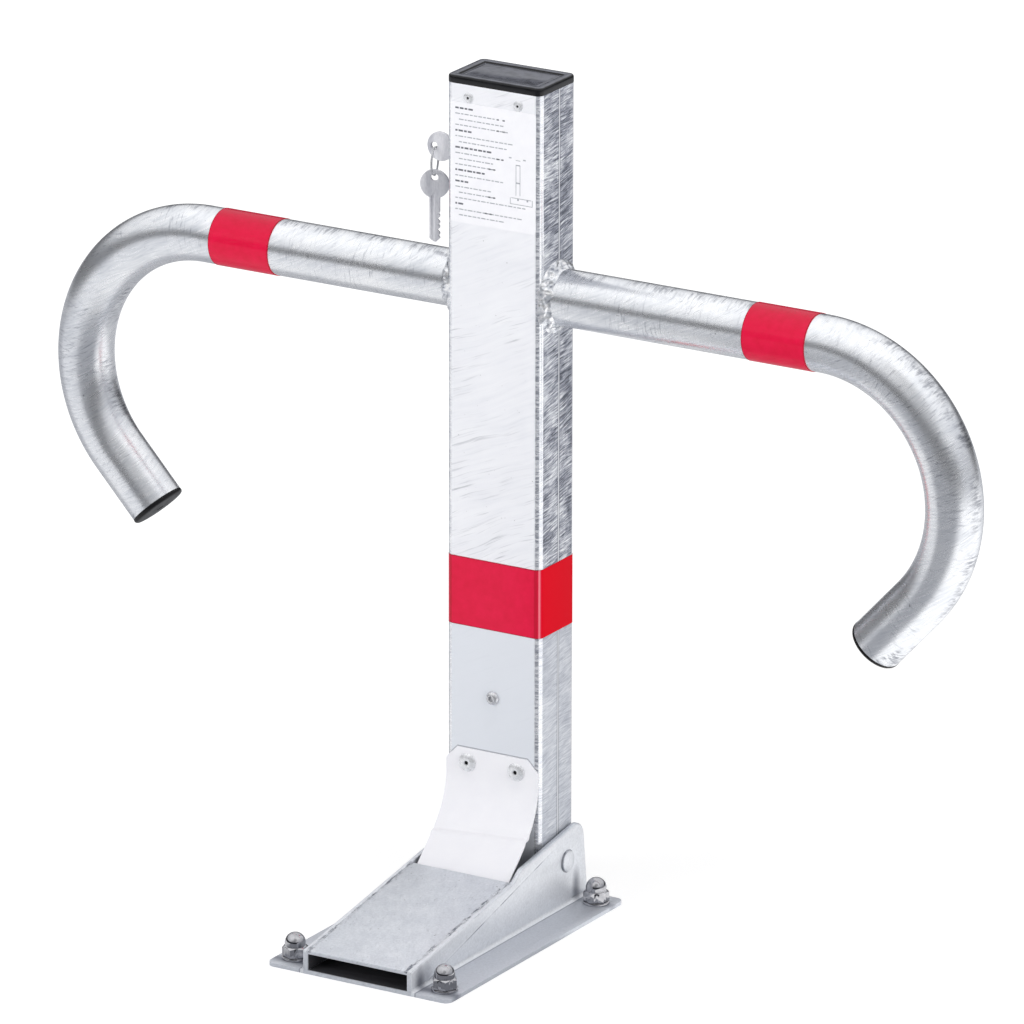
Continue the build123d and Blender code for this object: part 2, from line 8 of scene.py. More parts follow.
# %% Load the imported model
import bmesh
import bpy
import json
from math import atan, cos, pi, radians, sin, sqrt
from mathutils import Matrix, Vector, noise


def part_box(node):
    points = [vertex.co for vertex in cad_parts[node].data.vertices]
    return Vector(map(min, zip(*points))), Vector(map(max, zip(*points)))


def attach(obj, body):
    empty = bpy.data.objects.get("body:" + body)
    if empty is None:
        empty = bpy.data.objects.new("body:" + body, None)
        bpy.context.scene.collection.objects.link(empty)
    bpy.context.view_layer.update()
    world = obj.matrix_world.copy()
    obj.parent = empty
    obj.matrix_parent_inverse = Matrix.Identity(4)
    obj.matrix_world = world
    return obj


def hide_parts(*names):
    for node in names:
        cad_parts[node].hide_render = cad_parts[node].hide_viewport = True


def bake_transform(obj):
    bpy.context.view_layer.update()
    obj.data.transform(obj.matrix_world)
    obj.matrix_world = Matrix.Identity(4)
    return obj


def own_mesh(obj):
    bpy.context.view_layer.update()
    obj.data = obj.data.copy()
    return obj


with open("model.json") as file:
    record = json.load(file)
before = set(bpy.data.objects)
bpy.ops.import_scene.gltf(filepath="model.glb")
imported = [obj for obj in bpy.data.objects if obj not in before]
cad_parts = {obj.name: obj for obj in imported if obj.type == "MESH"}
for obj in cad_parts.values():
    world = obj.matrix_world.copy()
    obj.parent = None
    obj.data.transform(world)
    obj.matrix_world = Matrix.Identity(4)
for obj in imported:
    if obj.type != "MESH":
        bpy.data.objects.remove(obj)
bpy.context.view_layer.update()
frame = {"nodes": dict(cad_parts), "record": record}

mm = 0.001

# %% [markdown]
# Colours are written as hex codes, as a paint chart gives them. Shaders calculate with linear light, so one
# function converts them. One more function adds a shader or geometry node, fills its inputs with values or
# links, and returns it. A Field holds the output of a shader node, so that a mask or a pattern is written
# as plain arithmetic.

# %% Colours, nodes and fields
def linear(hex_code):
    """An sRGB hex colour as the linear RGBA that the shaders take."""
    parts = [int(hex_code[i:i + 2], 16) / 255 for i in (1, 3, 5)]
    return tuple(c / 12.92 if c <= 0.04045 else ((c + 0.055) / 1.055) ** 2.4 for c in parts) + (1.0,)


def add(tree, kind, inputs=None, **settings):
    """Adds a node. Inputs are given by name or number; a field or socket is linked and anything else is a
    value."""
    new = tree.nodes.new(kind)
    for key, value in settings.items():
        setattr(new, key, value)
    for key, value in (inputs or {}).items():
        if isinstance(value, Field):
            value = value.socket
        if isinstance(value, bpy.types.NodeSocket):
            tree.links.new(value, new.inputs[key])
        else:
            new.inputs[key].default_value = value
    return new


class Field:
    """A shader node's output. Arithmetic on fields adds the Math nodes that work it out."""

    def __init__(self, socket):
        self.socket = socket
        self.tree = socket.id_data

    def maths(self, operation, *others):
        """This field and others, numbers or fields, put through one operation."""
        inputs = dict(enumerate((self, *others)))
        return Field(add(self.tree, "ShaderNodeMath", inputs, operation=operation).outputs[0])

    def vector(self, operation, *others, output="Vector"):
        """The same for vectors."""
        inputs = dict(enumerate((self, *others)))
        return Field(add(self.tree, "ShaderNodeVectorMath", inputs, operation=operation).outputs[output])

    def __add__(self, other):
        return self.maths("ADD", other)

    def __sub__(self, other):
        return self.maths("SUBTRACT", other)

    def __mul__(self, other):
        return self.maths("MULTIPLY", other)

    def __truediv__(self, other):
        return self.maths("DIVIDE", other)

    def __abs__(self):
        return self.maths("ABSOLUTE")

    def __gt__(self, other):
        return self.maths("GREATER_THAN", other)

    def __lt__(self, other):
        return self.maths("LESS_THAN", other)

    def between(self, low, high, start=0.0, end=1.0):
        """Maps low to start and high to end, and holds the result at the ends."""
        inputs = {"Value": self, 1: low, 2: high, 3: start, 4: end}
        return Field(add(self.tree, "ShaderNodeMapRange", inputs).outputs["Result"])

    def near(self, middle, outer, inner):
        """1 within inner of a middle, fading to 0 at outer."""
        return abs(self - middle).between(outer, inner)

    def parts(self):
        """X, Y and Z of a vector."""
        return [Field(part) for part in add(self.tree, "ShaderNodeSeparateXYZ", {"Vector": self}).outputs]


def length(first, second):
    """The length of a line whose parts stand square to each other."""
    return (first * first + second * second).maths("SQRT")


def material(name):
    """An empty material, its node tree and the place on the object."""
    made = bpy.data.materials.new(name)
    made.use_nodes = True
    made.node_tree.nodes.clear()
    return made, made.node_tree, Field(add(made.node_tree, "ShaderNodeTexCoord").outputs["Object"])


def facing(tree):
    """X, Y and Z of the direction that the surface faces."""
    return Field(add(tree, "ShaderNodeNewGeometry").outputs["Normal"]).parts()


def ramp(factor, stops):
    """A colour ramp from (position, hex colour) stops."""
    made = add(factor.tree, "ShaderNodeValToRGB", {"Fac": factor})
    elements = made.color_ramp.elements
    while len(elements) < len(stops):
        elements.new(0.5)
    for element, (position, hex_code) in zip(elements, stops):
        element.position = position
        element.color = linear(hex_code)
    return Field(made.outputs["Color"])


def painted(colour, mask, over, blend="MIX"):
    """A colour with another laid over it as far as the mask says. The other is a hex code, a value or a
    field."""
    inputs = {0: mask, 6: colour, 7: linear(over) if isinstance(over, str) else over}
    return Field(add(colour.tree, "ShaderNodeMix", inputs, data_type="RGBA", blend_type=blend).outputs[2])


def finished(tree, inputs, height, strength, depth, further):
    """Ends a material with one Principled shader and a relief whose depth is in millimetres."""
    relief = add(tree, "ShaderNodeBump", {"Height": height, "Strength": strength, "Distance": depth * mm})
    shader = add(tree, "ShaderNodeBsdfPrincipled", {**inputs, "Normal": relief.outputs["Normal"], **further})
    add(tree, "ShaderNodeOutputMaterial", {"Surface": shader.outputs["BSDF"]})


# %% [markdown]
# Hot-dip galvanised steel is dipped in molten zinc. The coat is a satin grey-white metal with faint clouds,
# drag marks where the zinc ran off, and a few dark specks of dross. The drag marks are thin sheets of noise
# in 3-D object space: the noise changes fast along one line and slowly across it, so it shows as long
# parallel streaks on every face it meets. A zinc coat is part metal and part dull patina, so the metallic
# value stays below 1.

# %% Galvanised steel
sheet_line = Vector((-0.46, -0.34, 1.0)).normalized()
level_line = Vector((0.1, -0.12, 1.0)).normalized()


def noise_at(place, size, detail=3.0, roughness=0.55, output="Fac"):
    """Noise whose features are about as wide as a size in millimetres."""
    inputs = {"Vector": place, "Scale": 1 / (size * mm), "Detail": detail, "Roughness": roughness}
    return Field(add(place.tree, "ShaderNodeTexNoise", inputs).outputs[output])


def sheets(place, long, short, detail=3.0, waver=9.0, line=sheet_line):
    """Noise in thin, slightly wavy sheets: long and short are its sizes along and across them, in
    millimetres."""
    sway = noise_at(place, 45, 1.0, 0.5, "Color").vector("MULTIPLY", [waver * mm] * 3)
    place = sway.vector("ADD", place)
    along = place.vector("DOT_PRODUCT", line, output="Value")
    push = (along * (long / short - 1)).vector("MULTIPLY", line)
    return noise_at(push.vector("ADD", place), long, detail, 0.6)


def galvanised(name, stops, streak=(40.0, 1.6), gain=0.5, scratch=0.5, cloud=38.0, clouding=0.4, metallic=0.6,
               rough=(0.34, 0.5), bump=0.25, extra=None):
    """Zinc-coated steel. stops are its colours from dark to light, streak the length and width of the drag
    marks and cloud the size of the clouds in millimetres. extra may change the colour and name further
    shader inputs."""
    made, tree, place = material(name)
    streaks = sheets(place, *streak)
    clouds = noise_at(place, cloud, 4.0)
    tone = (streaks - 0.5) * gain + clouds * clouding + (0.5 - clouding / 2)
    fine = sheets(place, streak[0] * 0.6, streak[1] * 0.45, 2.0)
    marks = fine.between(0.58, 0.7) * noise_at(place, cloud * 1.4, 2.0).between(0.44, 0.66)
    specks = noise_at(place, 3.2, 2.0).between(0.23, 0.27, 0.5, 1.0)
    colour = painted(ramp(tone, stops), marks * scratch, "#7D818C")
    colour = painted(colour, 1.0, specks, "MULTIPLY")
    colour, further = extra(place, colour) if extra else (colour, {})
    inputs = {"Base Color": colour, "Metallic": metallic,
              "Roughness": tone.between(0.3, 0.7, rough[1], rough[0])}
    finished(tree, inputs, tone - marks, bump, 0.06, further)
    return made


# %% [markdown]
# The post, the arms and the base each have marks of their own. A mark is a mask from the surface's place in
# millimetres, often broken up by noise, and a colour laid over the zinc through that mask.

# %% Marks on the post and the arms
seam_y = 1.5
guard_half, guard_top, guard_corner = 39.5, 122.0, 9.5
arm_radius, arm_wall, arm_height = 21.2, 2.5, 474.0
straight_end, bend_radius = 262.5, 109.0


def post_marks(place, colour):
    """The post's narrow sides are scored all over by the tube mill, are painted darker overall as shade, and
    have a seam. Its rounded corners are burnished and painted lighter as a highlight, its foot below about
    220 mm takes a tone of its own, and a painted shadow outlines the guard sheet."""
    across = facing(place.tree)[0].maths("ABSOLUTE")
    x, y, z = place.parts()
    # Below about 220 mm the broad faces take a greyer tone and the narrow sides a lighter, calmer one
    foot_zone = z.between(225 * mm, 215 * mm)
    colour = painted(colour, foot_zone * 0.9, "#DADEE5")
    scored = sheets(place, 15.0, 1.0, 6.0, 8.0, level_line)
    crossed = sheets(place, 14.0, 0.8, 4.0, 5.0)
    rolled = place.vector("MULTIPLY", (900.0, 900.0, 14.0))
    mill_lines = noise_at(rolled, 200.0, 2.0, 0.5)  # 0.2 mm wide and 14 mm long once the place is stretched
    tone = noise_at(place, 24.0, 5.0, 0.65) + (scored - 0.5) * 1.7
    tone = tone + (crossed - 0.5) * 0.8 + (mill_lines - 0.5) * 0.5
    # The narrow sides take far darker colours than the broad faces: painted shade over the mill scoring
    sides = ramp(tone, [(0.2, "#3E424F"), (0.42, "#848895"), (0.58, "#B4B7C1"), (0.8, "#E9EBEE")])
    sides = painted(sides, foot_zone, ramp(tone, [(0.1, "#A4A8B4"), (0.5, "#C4C8D0"), (0.9, "#E2E4E9")]))
    sides = painted(sides, y.near(seam_y * mm, 1.9 * mm, 1.1 * mm) * 0.7, "#666A76")
    sides = painted(sides, y.near(seam_y * mm, 0.8 * mm, 0.4 * mm) * 0.85, "#EDEFF3")
    colour = painted(colour, across.between(0.985, 0.998), sides)
    # The rounded corners are painted lighter as a highlight; their zinc is also smoother
    corner = across.between(0.06, 0.25) * across.between(0.998, 0.985)
    colour = painted(colour, corner, ramp(tone, [(0.2, "#CDD0D8"), (0.5, "#E8EAEE"), (0.8, "#F4F5F8")]))
    worn = sheets(place, 9.0, 1.6, 4.0, 5.0, level_line).between(0.42, 0.56, 1.0, 0.5)
    # A painted shadow on the broad face, just outside the guard sheet's top edge and cut corner
    beside = abs(x) - guard_half * mm
    over = z - guard_top * mm
    cut = (beside + over + guard_corner * mm) * sqrt(0.5)
    outside = beside.maths("MAXIMUM", over).maths("MAXIMUM", cut)
    painted_shade = outside.between(1.1 * mm, 0.2 * mm) * z.between(70 * mm, 90 * mm)
    painted_shade = painted_shade * across.between(0.6, 0.1) * (y < 0.0)
    colour = painted(colour, painted_shade * 0.75, "#5F626C")
    return colour, {"Metallic": (corner * worn).between(0.0, 1.0, 0.15, 1.0),
                    "Roughness": corner.between(0.0, 1.0, 0.46, 0.2)}


def arm_marks(place, colour):
    """The arms carry short strokes round the tube, which the mandrel and the grinding belt left under the
    zinc. The noise is laid along the arm's centre line, so the strokes stay square to it in the bend."""
    x, y, z = place.parts()
    past = abs(x) - straight_end * mm
    high = z - (arm_height - bend_radius) * mm
    turned_by = past.maths("ARCTAN2", high).maths("MAXIMUM", 0.0)
    along = turned_by * (bend_radius * mm) + abs(x).maths("MINIMUM", straight_end * mm)
    level = high + (length(past, high) - high) * (past > 0.0)
    laid = add(place.tree, "ShaderNodeCombineXYZ", {0: along, 1: y * 0.14, 2: level * 0.14})
    strokes = noise_at(Field(laid.outputs[0]), 1.6, 5.0, 0.65)
    patches = noise_at(place, 34.0, 3.0, 0.6).between(0.42, 0.62)
    colour = painted(colour, strokes.between(0.55, 0.68) * patches * 0.6, "#7C808C")
    outward = (level - bend_radius * mm) / (arm_radius * mm)
    runs = noise_at(place, 26.0, 3.0, 0.6).between(0.44, 0.58) * strokes.between(0.43, 0.56)
    colour = painted(colour, abs(outward).between(0.88, 0.98) * runs * 0.6, "#5F6370")
    depth = strokes * patches.between(0.0, 1.0, 0.35, 1.0)
    relief = add(place.tree, "ShaderNodeBump", {"Height": depth, "Strength": 0.5, "Distance": 0.12 * mm})
    return colour, {"Normal": relief.outputs["Normal"]}


# %% [markdown]
# The base is welded from plates. Zinc and dirt gather where two plates meet. Much of the rest is painted
# light: highlights along rounded edges, lighter outer faces on the cheeks, and painted shade beside two nuts,
# round the pin and in the narrow channel under the ramp.

# %% Marks on the base
cheek_inner, cheek_outer, flange_edge = 42.5, 46.5, 49.0
base_front, ramp_rear, channel_end = -215.0, -70.5, -72.0
pivot_y, pivot_z, pin_radius = 5.0, 36.5, 8.0
ramp_front_height, ramp_rear_height = 18.6, 42.2
ramp_slope = (ramp_rear_height - ramp_front_height) / (ramp_rear - base_front)
lap_slope, lap_height = 0.2596, 55.05
# Patches of painted shade beside two nuts on the cheeks: y, z, width and height
nut_shade_patches = [(-203.5, 7.0, 6.0, 12.0), (17.5, 13.0, 5.5, 14.0)]


def base_marks(place, colour):
    """Marks on the plates of the base: weld strokes along their joints, painted highlights on rounded edges,
    lighter cheek faces, and painted shade round the pin, beside the nuts and under the ramp."""
    x, y, z = place.parts()
    out = abs(x)
    flank = out > (cheek_outer - 0.3) * mm
    ramp_top = (y - base_front * mm) * ramp_slope + ramp_front_height * mm
    roof = ramp_top - 1.5 * mm
    on_ramp = (z > roof) * y.between((ramp_rear + 30.0) * mm, (ramp_rear + 5.0) * mm)
    patchy = noise_at(place, 22.0, 2.0).between(0.42, 0.56, 0.2, 1.0)

    # The ramp plate's long edges: a painted highlight on the rounded brim, and dark strokes in the joint and
    # along the outer edge
    brim_highlight = out.between((cheek_inner - 0.6) * mm, (cheek_inner + 0.6) * mm) * on_ramp
    colour = painted(colour, brim_highlight * 0.35, "#E6E8EC")
    wander = noise_at(place, 7.0, 4.0, 0.7) * (5.0 * mm) - 2.5 * mm
    drawn = place.vector("MULTIPLY", (1.0, 0.3, 0.3))
    strokes = noise_at(drawn, 1.8, 6.0, 0.8).between(0.45, 0.54) * patchy
    at_joint = (out + wander).near((cheek_inner - 0.6) * mm, 2.2 * mm, 0.8 * mm)
    at_brim = (wander * 0.4 + out).near(cheek_outer * mm, 0.9 * mm, 0.3 * mm) * 0.35
    colour = painted(colour, at_joint.maths("MAXIMUM", at_brim) * on_ramp * strokes, "#626672")

    # The cheeks' outer faces, painted lighter as lit, the flange below them, and a painted highlight on the
    # rim above
    colour = painted(colour, flank * 0.55, "#EFF1F5")
    colour = painted(colour, (out > flange_edge * mm) * (z < 3.3 * mm) * 0.5, "#B4B9C4")
    rim = (ramp_top - z).between(6.0 * mm, 2.0 * mm) * y.between((ramp_rear + 40.0) * mm, ramp_rear * mm)
    colour = painted(colour, rim * flank * 0.4, "#E4E7EC")

    # The sloping line where each cheek's ear laps over it: a painted highlight along the edge with a painted
    # shadow below
    lap = z - (y * lap_slope + lap_height * mm)
    lap_here = flank * y.between(-12 * mm, -22 * mm) * z.between(4 * mm, 8 * mm)
    colour = painted(colour, lap.near(0.9 * mm, 0.9 * mm, 0.4 * mm) * lap_here * 0.55, "#EDEFF3")
    shadow = lap.near(-0.3 * mm, 0.7 * mm, 0.3 * mm) * lap_here * patchy
    colour = painted(colour, shadow * 0.75, "#7A7F8D")

    # Painted shade beside the nuts, the toe of the cheek's weld, fine grain and a ring of painted shade round
    # the pin
    for shade_y, shade_z, wide, tall in nut_shade_patches:
        away = length((y - shade_y * mm) / (wide * mm), (z - shade_z * mm) / (tall * mm))
        colour = painted(colour, away.between(1.3, 0.3) * flank * 0.75, "#5C606F")
    toe = out.near((flange_edge + 0.5) * mm, 0.8 * mm, 0.3 * mm) * (z < 4.2 * mm)
    colour = painted(colour, toe * 0.6, "#7A7F8D")
    grain = noise_at(place, 1.7, 3.0, 0.7).between(0.3, 0.7, 0.9, 1.06)
    colour = painted(colour, 1.0, grain, "MULTIPLY")
    # A ring of painted shade where the pin's head meets the cheek
    ring = length(z - pivot_z * mm, y - pivot_y * mm).near((pin_radius + 0.4) * mm, 0.7 * mm, 0.3 * mm)
    colour = painted(colour, ring * noise_at(place, 9.0, 3.0).between(0.4, 0.56, 0.45, 1.0), "#6B6F7B")

    # The channel under the ramp, painted dark as the shade inside it
    behind_mouth = y.between((base_front + 0.8) * mm, (base_front + 1.4) * mm)
    inside = (z < roof) * (z > 0.5 * mm) * (out < (cheek_inner + 0.2) * mm) * behind_mouth
    painted_shade = inside * (y < channel_end * mm)
    return painted(colour, painted_shade, "#38383C"), {"Metallic": painted_shade.between(0.0, 1.0, 0.4, 0.0),
                                              "Roughness": painted_shade.between(0.0, 1.0, 0.4, 0.8)}


# %% Four zinc finishes
post_zinc = galvanised("hot_dip_zinc_on_post_tube", [(0.3, "#DEE0E6"), (0.45, "#E9EAEF"), (0.6, "#EEEFF3")],
                       streak=(60.0, 3.0), gain=0.4, scratch=0.6, bump=0.12, extra=post_marks)
arm_zinc = galvanised("hot_dip_zinc_on_bent_tube", [(0.3, "#CDD1D8"), (0.5, "#E8EAEE"), (0.65, "#F3F4F6")],
                      streak=(16.0, 1.5), gain=0.45, scratch=0.6, metallic=0.85, rough=(0.22, 0.34),
                      extra=arm_marks)
base_zinc = galvanised("hot_dip_zinc_on_plate", [(0.3, "#BFC3CC"), (0.5, "#CFD3DA"), (0.68, "#DDE0E6")],
                       streak=(9.0, 1.6), cloud=14.0, gain=0.3, clouding=0.35, scratch=0.35, metallic=0.5,
                       rough=(0.38, 0.52), extra=base_marks)
weld_zinc = galvanised("hot_dip_zinc_on_weld_bead", [(0.34, "#7E828E"), (0.46, "#D6D9DF"), (0.62, "#FAFAFB")],
                       streak=(5.0, 1.6), cloud=5.0, clouding=0.6, metallic=0.7, rough=(0.22, 0.36), bump=0.6)

# %% [markdown]
# The other finishes are simpler. Moulded black plastic has a fine satin grain, and a painted reflection
# greys the cap's upper faces. The red bands and the label are adhesive film, and the bands have a clear skin;
# the bands' cut edges carry a painted shadow and their corners and sides are painted as shaded and lit. The
# nuts and washers are polished stainless steel, the lock is chromed, and the keys are nickel-plated brass
# with fine brush lines.

# %% Plastics, films and small metals
band_bottom, band_top = 217.0, 270.0
band_cuts = [("z", band_bottom * mm), ("z", band_top * mm)]
band_cuts += [("x", corner.x) for word in ("right", "left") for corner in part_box("band_" + word)]


def grained(name, light, dark, grain, metallic, rough, bump=0.2, stretch=(1, 1, 1), specular=0.5, top=None,
            extra=None):
    """A finish with a fine grain: its size is in millimetres and may be stretched along an axis. top is the
    colour of a painted reflection laid in patches on the faces that look up."""
    made, tree, place = material(name)
    stretched = place.vector("DIVIDE", stretch)
    fine = noise_at(stretched, grain, 4.0, 0.5)
    broad = noise_at(stretched, grain / 0.07, 3.0, 0.5)
    both = fine * 0.35 + broad
    colour = ramp(both, [(0.45, dark), (0.9, light)])
    if top:
        # A painted reflection on the faces that look up, laid in patches
        top_sheen = facing(tree)[2].between(0.8, 0.98) * broad.between(0.3, 0.6, 0.6, 1.0)
        colour = painted(colour, top_sheen, top)
    colour, further = extra(place, colour) if extra else (colour, {})
    inputs = {"Base Color": colour, "Metallic": metallic, "Roughness": both.between(0.45, 0.9, *rough),
              "Specular IOR Level": specular}
    finished(tree, inputs, fine, bump, 0.04, further)
    return made


def band_marks(place, colour):
    """The cut edges of the red bands carry a painted shadow. On the post's rounded corners the red is painted
    darker as shade, with a painted highlight line, and its narrow sides are painted a deeper red as lit; the
    clear skin is matt where it is stretched round them."""
    x, y, z = place.parts()
    nearest = x * 0.0 + 1.0
    for axis, edge in band_cuts:
        nearest = nearest.maths("MINIMUM", abs({"x": x, "z": z}[axis] - edge))
    # A painted shadow along the bands' cut edges
    colour = painted(colour, nearest.between(0.9 * mm, 0.3 * mm) * 0.6, "#6A0A20")
    across = facing(place.tree)[0].maths("ABSOLUTE")
    # Painted shade and a highlight line on the corners; the narrow sides painted a deeper red as lit
    corner_shade = across.between(0.04, 0.16) * across.between(0.62, 0.5)
    colour = painted(colour, corner_shade * 0.6, "#A30F22")
    colour = painted(colour, across.near(0.74, 0.14, 0.05) * 0.45, "#F9A9B4")
    side = across.between(0.8, 0.97)
    further = {"Coat Weight": side.between(0.0, 1.0, 0.35, 0.0), "Coat Roughness": 0.12,
               "Specular IOR Level": side.between(0.0, 1.0, 0.06, 0.02)}
    return painted(colour, side, "#DC0C22"), further


# The cap's faces that look up get a painted reflection, the top colour
black_polypropylene = grained("moulded_black_polypropylene", "#17171A", "#0D0D0F", 0.5, 0.0, (0.16, 0.26),
                              specular=0.35, top="#686A74")
black_polyethylene = grained("moulded_black_polyethylene", "#141416", "#0C0C0E", 0.5, 0.0, (0.3, 0.4),
                             specular=0.2)
red_film = grained("red_reflective_film", "#D91040", "#D00B38", 0.4, 0.0, (0.36, 0.46), bump=0.08,
                   extra=band_marks)
label_film = grained("white_printed_film", "#EFEFF3", "#EAEAEF", 0.6, 0.0, (0.36, 0.46), bump=0.05)
label_ink = grained("grey_printing_ink", "#A9ABB2", "#9A9DA5", 0.4, 0.0, (0.4, 0.5), bump=0.05)
heading_ink = grained("dark_printing_ink", "#6C6E76", "#5C5E66", 0.4, 0.0, (0.4, 0.5), bump=0.05)
white_sheet = grained("white_polypropylene_sheet", "#EBEBEF", "#E7E7EC", 1.2, 0.0, (0.5, 0.58), bump=0.05)
stainless = grained("polished_stainless_steel", "#BDBDC1", "#A4A4A8", 0.3, 1.0, (0.05, 0.1), bump=0.03)
satin_stainless = grained("satin_stainless_steel", "#D8D9DC", "#C6C7CB", 0.3, 0.7, (0.2, 0.3), bump=0.05)
aluminium = grained("bright_aluminium", "#E8E9EC", "#DCDEE1", 0.35, 0.5, (0.22, 0.32), bump=0.05)
chromed_zinc = grained("chromed_zinc_die_casting", "#8C8D93", "#7B7C82", 0.3, 1.0, (0.08, 0.14), bump=0.03)
nickelled_brass = grained("nickel_plated_brass", "#F2F2F6", "#BEBFC7", 0.7, 0.4, (0.28, 0.4), bump=0.12,
                          stretch=(1, 1, 5))
nickelled_wire = grained("nickel_plated_ring_wire", "#D6D7DA", "#BFC0C4", 0.3, 0.6, (0.2, 0.3), bump=0.05)
spring_steel = grained("oiled_spring_steel", "#8A8B90", "#66676C", 0.3, 1.0, (0.3, 0.42), bump=0.08)
# The mandrel's end is painted near black as the shade in the rivet's hole
mandrel_shade_black = grained("mandrel_painted_black_as_shade", "#0E0E10", "#0A0A0C", 0.3, 0.0, (0.5, 0.6), bump=0.1,
                        specular=0.2)
zinc_plated = grained("zinc_plated_steel", "#C9CBCF", "#B2B4BA", 0.5, 1.0, (0.28, 0.4), bump=0.1)
nylon = grained("natural_nylon", "#E6E3D8", "#D8D5C8", 0.8, 0.0, (0.4, 0.5), bump=0.08)
print(len(bpy.data.materials), "materials, the CAD's own among them")

# %% [markdown]
# A mesh comes in three ways here. A turned piece, such as a rivet or a cap nut, is a profile spun round an
# axis, and a ring of the profile may be a hexagon. A bent tube is a centre line with a round section, made
# with Geometry Nodes. A plate is a merged copy of its CAD solid with a small bevel, because sheet edges are
# never razor sharp.

# %% Mesh objects and turned pieces
def placed(name, data):
    """An object in the scene for a mesh, a curve, a lamp or a camera."""
    made = bpy.data.objects.new(name, data)
    bpy.context.scene.collection.objects.link(made)
    return made


def settled(made):
    """Turns an object and its modifiers into one plain mesh, which it returns."""
    graph = bpy.context.evaluated_depsgraph_get()
    mesh = bpy.data.meshes.new_from_object(made.evaluated_get(graph))
    made.modifiers.clear()
    made.data = mesh
    return mesh


def tidy(mesh, sharp_angle):
    """Merges doubled points, turns all faces outwards and shades smoothly between sharp edges."""
    work = bmesh.new()
    work.from_mesh(mesh)
    bmesh.ops.remove_doubles(work, verts=work.verts, dist=0.0005 * mm)
    bmesh.ops.recalc_face_normals(work, faces=work.faces)
    work.to_mesh(mesh)
    work.free()
    mesh.shade_smooth()
    mesh.set_sharp_from_angle(angle=radians(sharp_angle))


def mesh_object(name, points, faces, finish, sharp_angle=32):
    """A smooth-shaded mesh object with sharp edges where its faces turn by more than an angle."""
    mesh = bpy.data.meshes.new(name)
    mesh.from_pydata([tuple(p) for p in points], [], faces)
    tidy(mesh, sharp_angle)
    mesh.materials.append(finish)
    return placed(name, mesh)


def joined_rings(count, n, closed=True):
    """Quads between rings of n points that follow each other. A closed run joins its last ring to its
    first."""
    return [(i * n + k, i * n + (k + 1) % n, (i + 1) % count * n + (k + 1) % n, (i + 1) % count * n + k)
            for i in range(count if closed else count - 1) for k in range(n)]


def turned_mesh(profile, steps=72):
    """Points and faces of a solid turned about Z. The profile runs from the axis to the axis: (radius,
    height) in millimetres, with "hex" for a hexagonal ring and "cut" for one whose corners are cut by a
    cone."""
    points, rings = [], []
    for radius, height, *kind in profile:
        rings.append(range(len(points), len(points) + (steps if radius else 1)))
        for i in range(len(rings[-1])):
            angle = 2 * pi * i / steps
            r = radius / cos((angle + pi / 6) % (pi / 3) - pi / 6) if kind else radius
            drop = (r - radius) * 0.6 if kind == ["cut"] else 0
            points.append(Vector((r * cos(angle), r * sin(angle), height - drop)) * mm)
    faces = []
    for lower, upper in zip(rings, rings[1:]):
        for i in range(steps):
            j = (i + 1) % steps
            if len(lower) == 1:
                faces.append((lower[0], upper[j], upper[i]))
            elif len(upper) == 1:
                faces.append((lower[i], lower[j], upper[0]))
            else:
                faces.append((lower[i], lower[j], upper[j], upper[i]))
    return points, faces


def turned(name, profile, place, direction, finish, steps=72):
    """A turned solid at a place in millimetres, with its axis along a direction."""
    points, faces = turned_mesh(profile, steps)
    turn = Vector(direction).to_track_quat("Z", "Y").to_matrix().to_4x4()
    move = Matrix.Translation(Vector(place) * mm) @ turn
    return mesh_object(name, [move @ p for p in points], faces, finish)


def ride(piece, body, slot, *nodes):
    """Puts a finished piece on its body and hides the CAD nodes that it stands for. slot is not used."""
    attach(piece, body)
    if nodes:
        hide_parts(*nodes)


# %% [markdown]
# Geometry Nodes need a tree with named inputs. The first tree sweeps a section along a curve, and the
# second puts copies of a template on points. Both end in Realize Instances and Set Material. The result is
# turned into a plain mesh, so the modifier is gone before the piece goes onto its body.

# %% Geometry Nodes helpers
def geometry_tree(name, inputs):
    """A geometry node tree with a geometry input and output and further named inputs (name, socket type)."""
    tree = bpy.data.node_groups.new(name, "GeometryNodeTree")
    tree.interface.new_socket("Geometry", in_out="INPUT", socket_type="NodeSocketGeometry")
    for label, kind in inputs + [("Finish", "NodeSocketMaterial")]:
        tree.interface.new_socket(label, in_out="INPUT", socket_type=kind)
    tree.interface.new_socket("Geometry", in_out="OUTPUT", socket_type="NodeSocketGeometry")
    return tree, add(tree, "NodeGroupInput").outputs


def close_tree(tree, geometry, given):
    """Ends a tree with Realize Instances and Set Material."""
    realized = add(tree, "GeometryNodeRealizeInstances", {"Geometry": geometry})
    finish = add(tree, "GeometryNodeSetMaterial", {"Geometry": realized.outputs[0],
                 "Material": given["Finish"]})
    add(tree, "NodeGroupOutput", {"Geometry": finish.outputs[0]})
    return tree


def grow(name, source, tree, values, finish, sharp_angle=32):
    """Runs a tree on an object and keeps the result as a plain mesh object; the source is removed."""
    modifier = source.modifiers.new("grow", "NODES")
    modifier.node_group = tree
    values = {**values, "Finish": finish}
    for item in tree.interface.items_tree:
        if item.in_out == "INPUT" and item.name in values:
            modifier[item.identifier] = values[item.name]
    bpy.context.view_layer.update()
    graph = bpy.context.evaluated_depsgraph_get()
    mesh = bpy.data.meshes.new_from_object(source.evaluated_get(graph))
    bpy.data.objects.remove(source)
    mesh.name = name
    tidy(mesh, sharp_angle)
    if not mesh.materials:
        mesh.materials.append(finish)
    return placed(name, mesh)


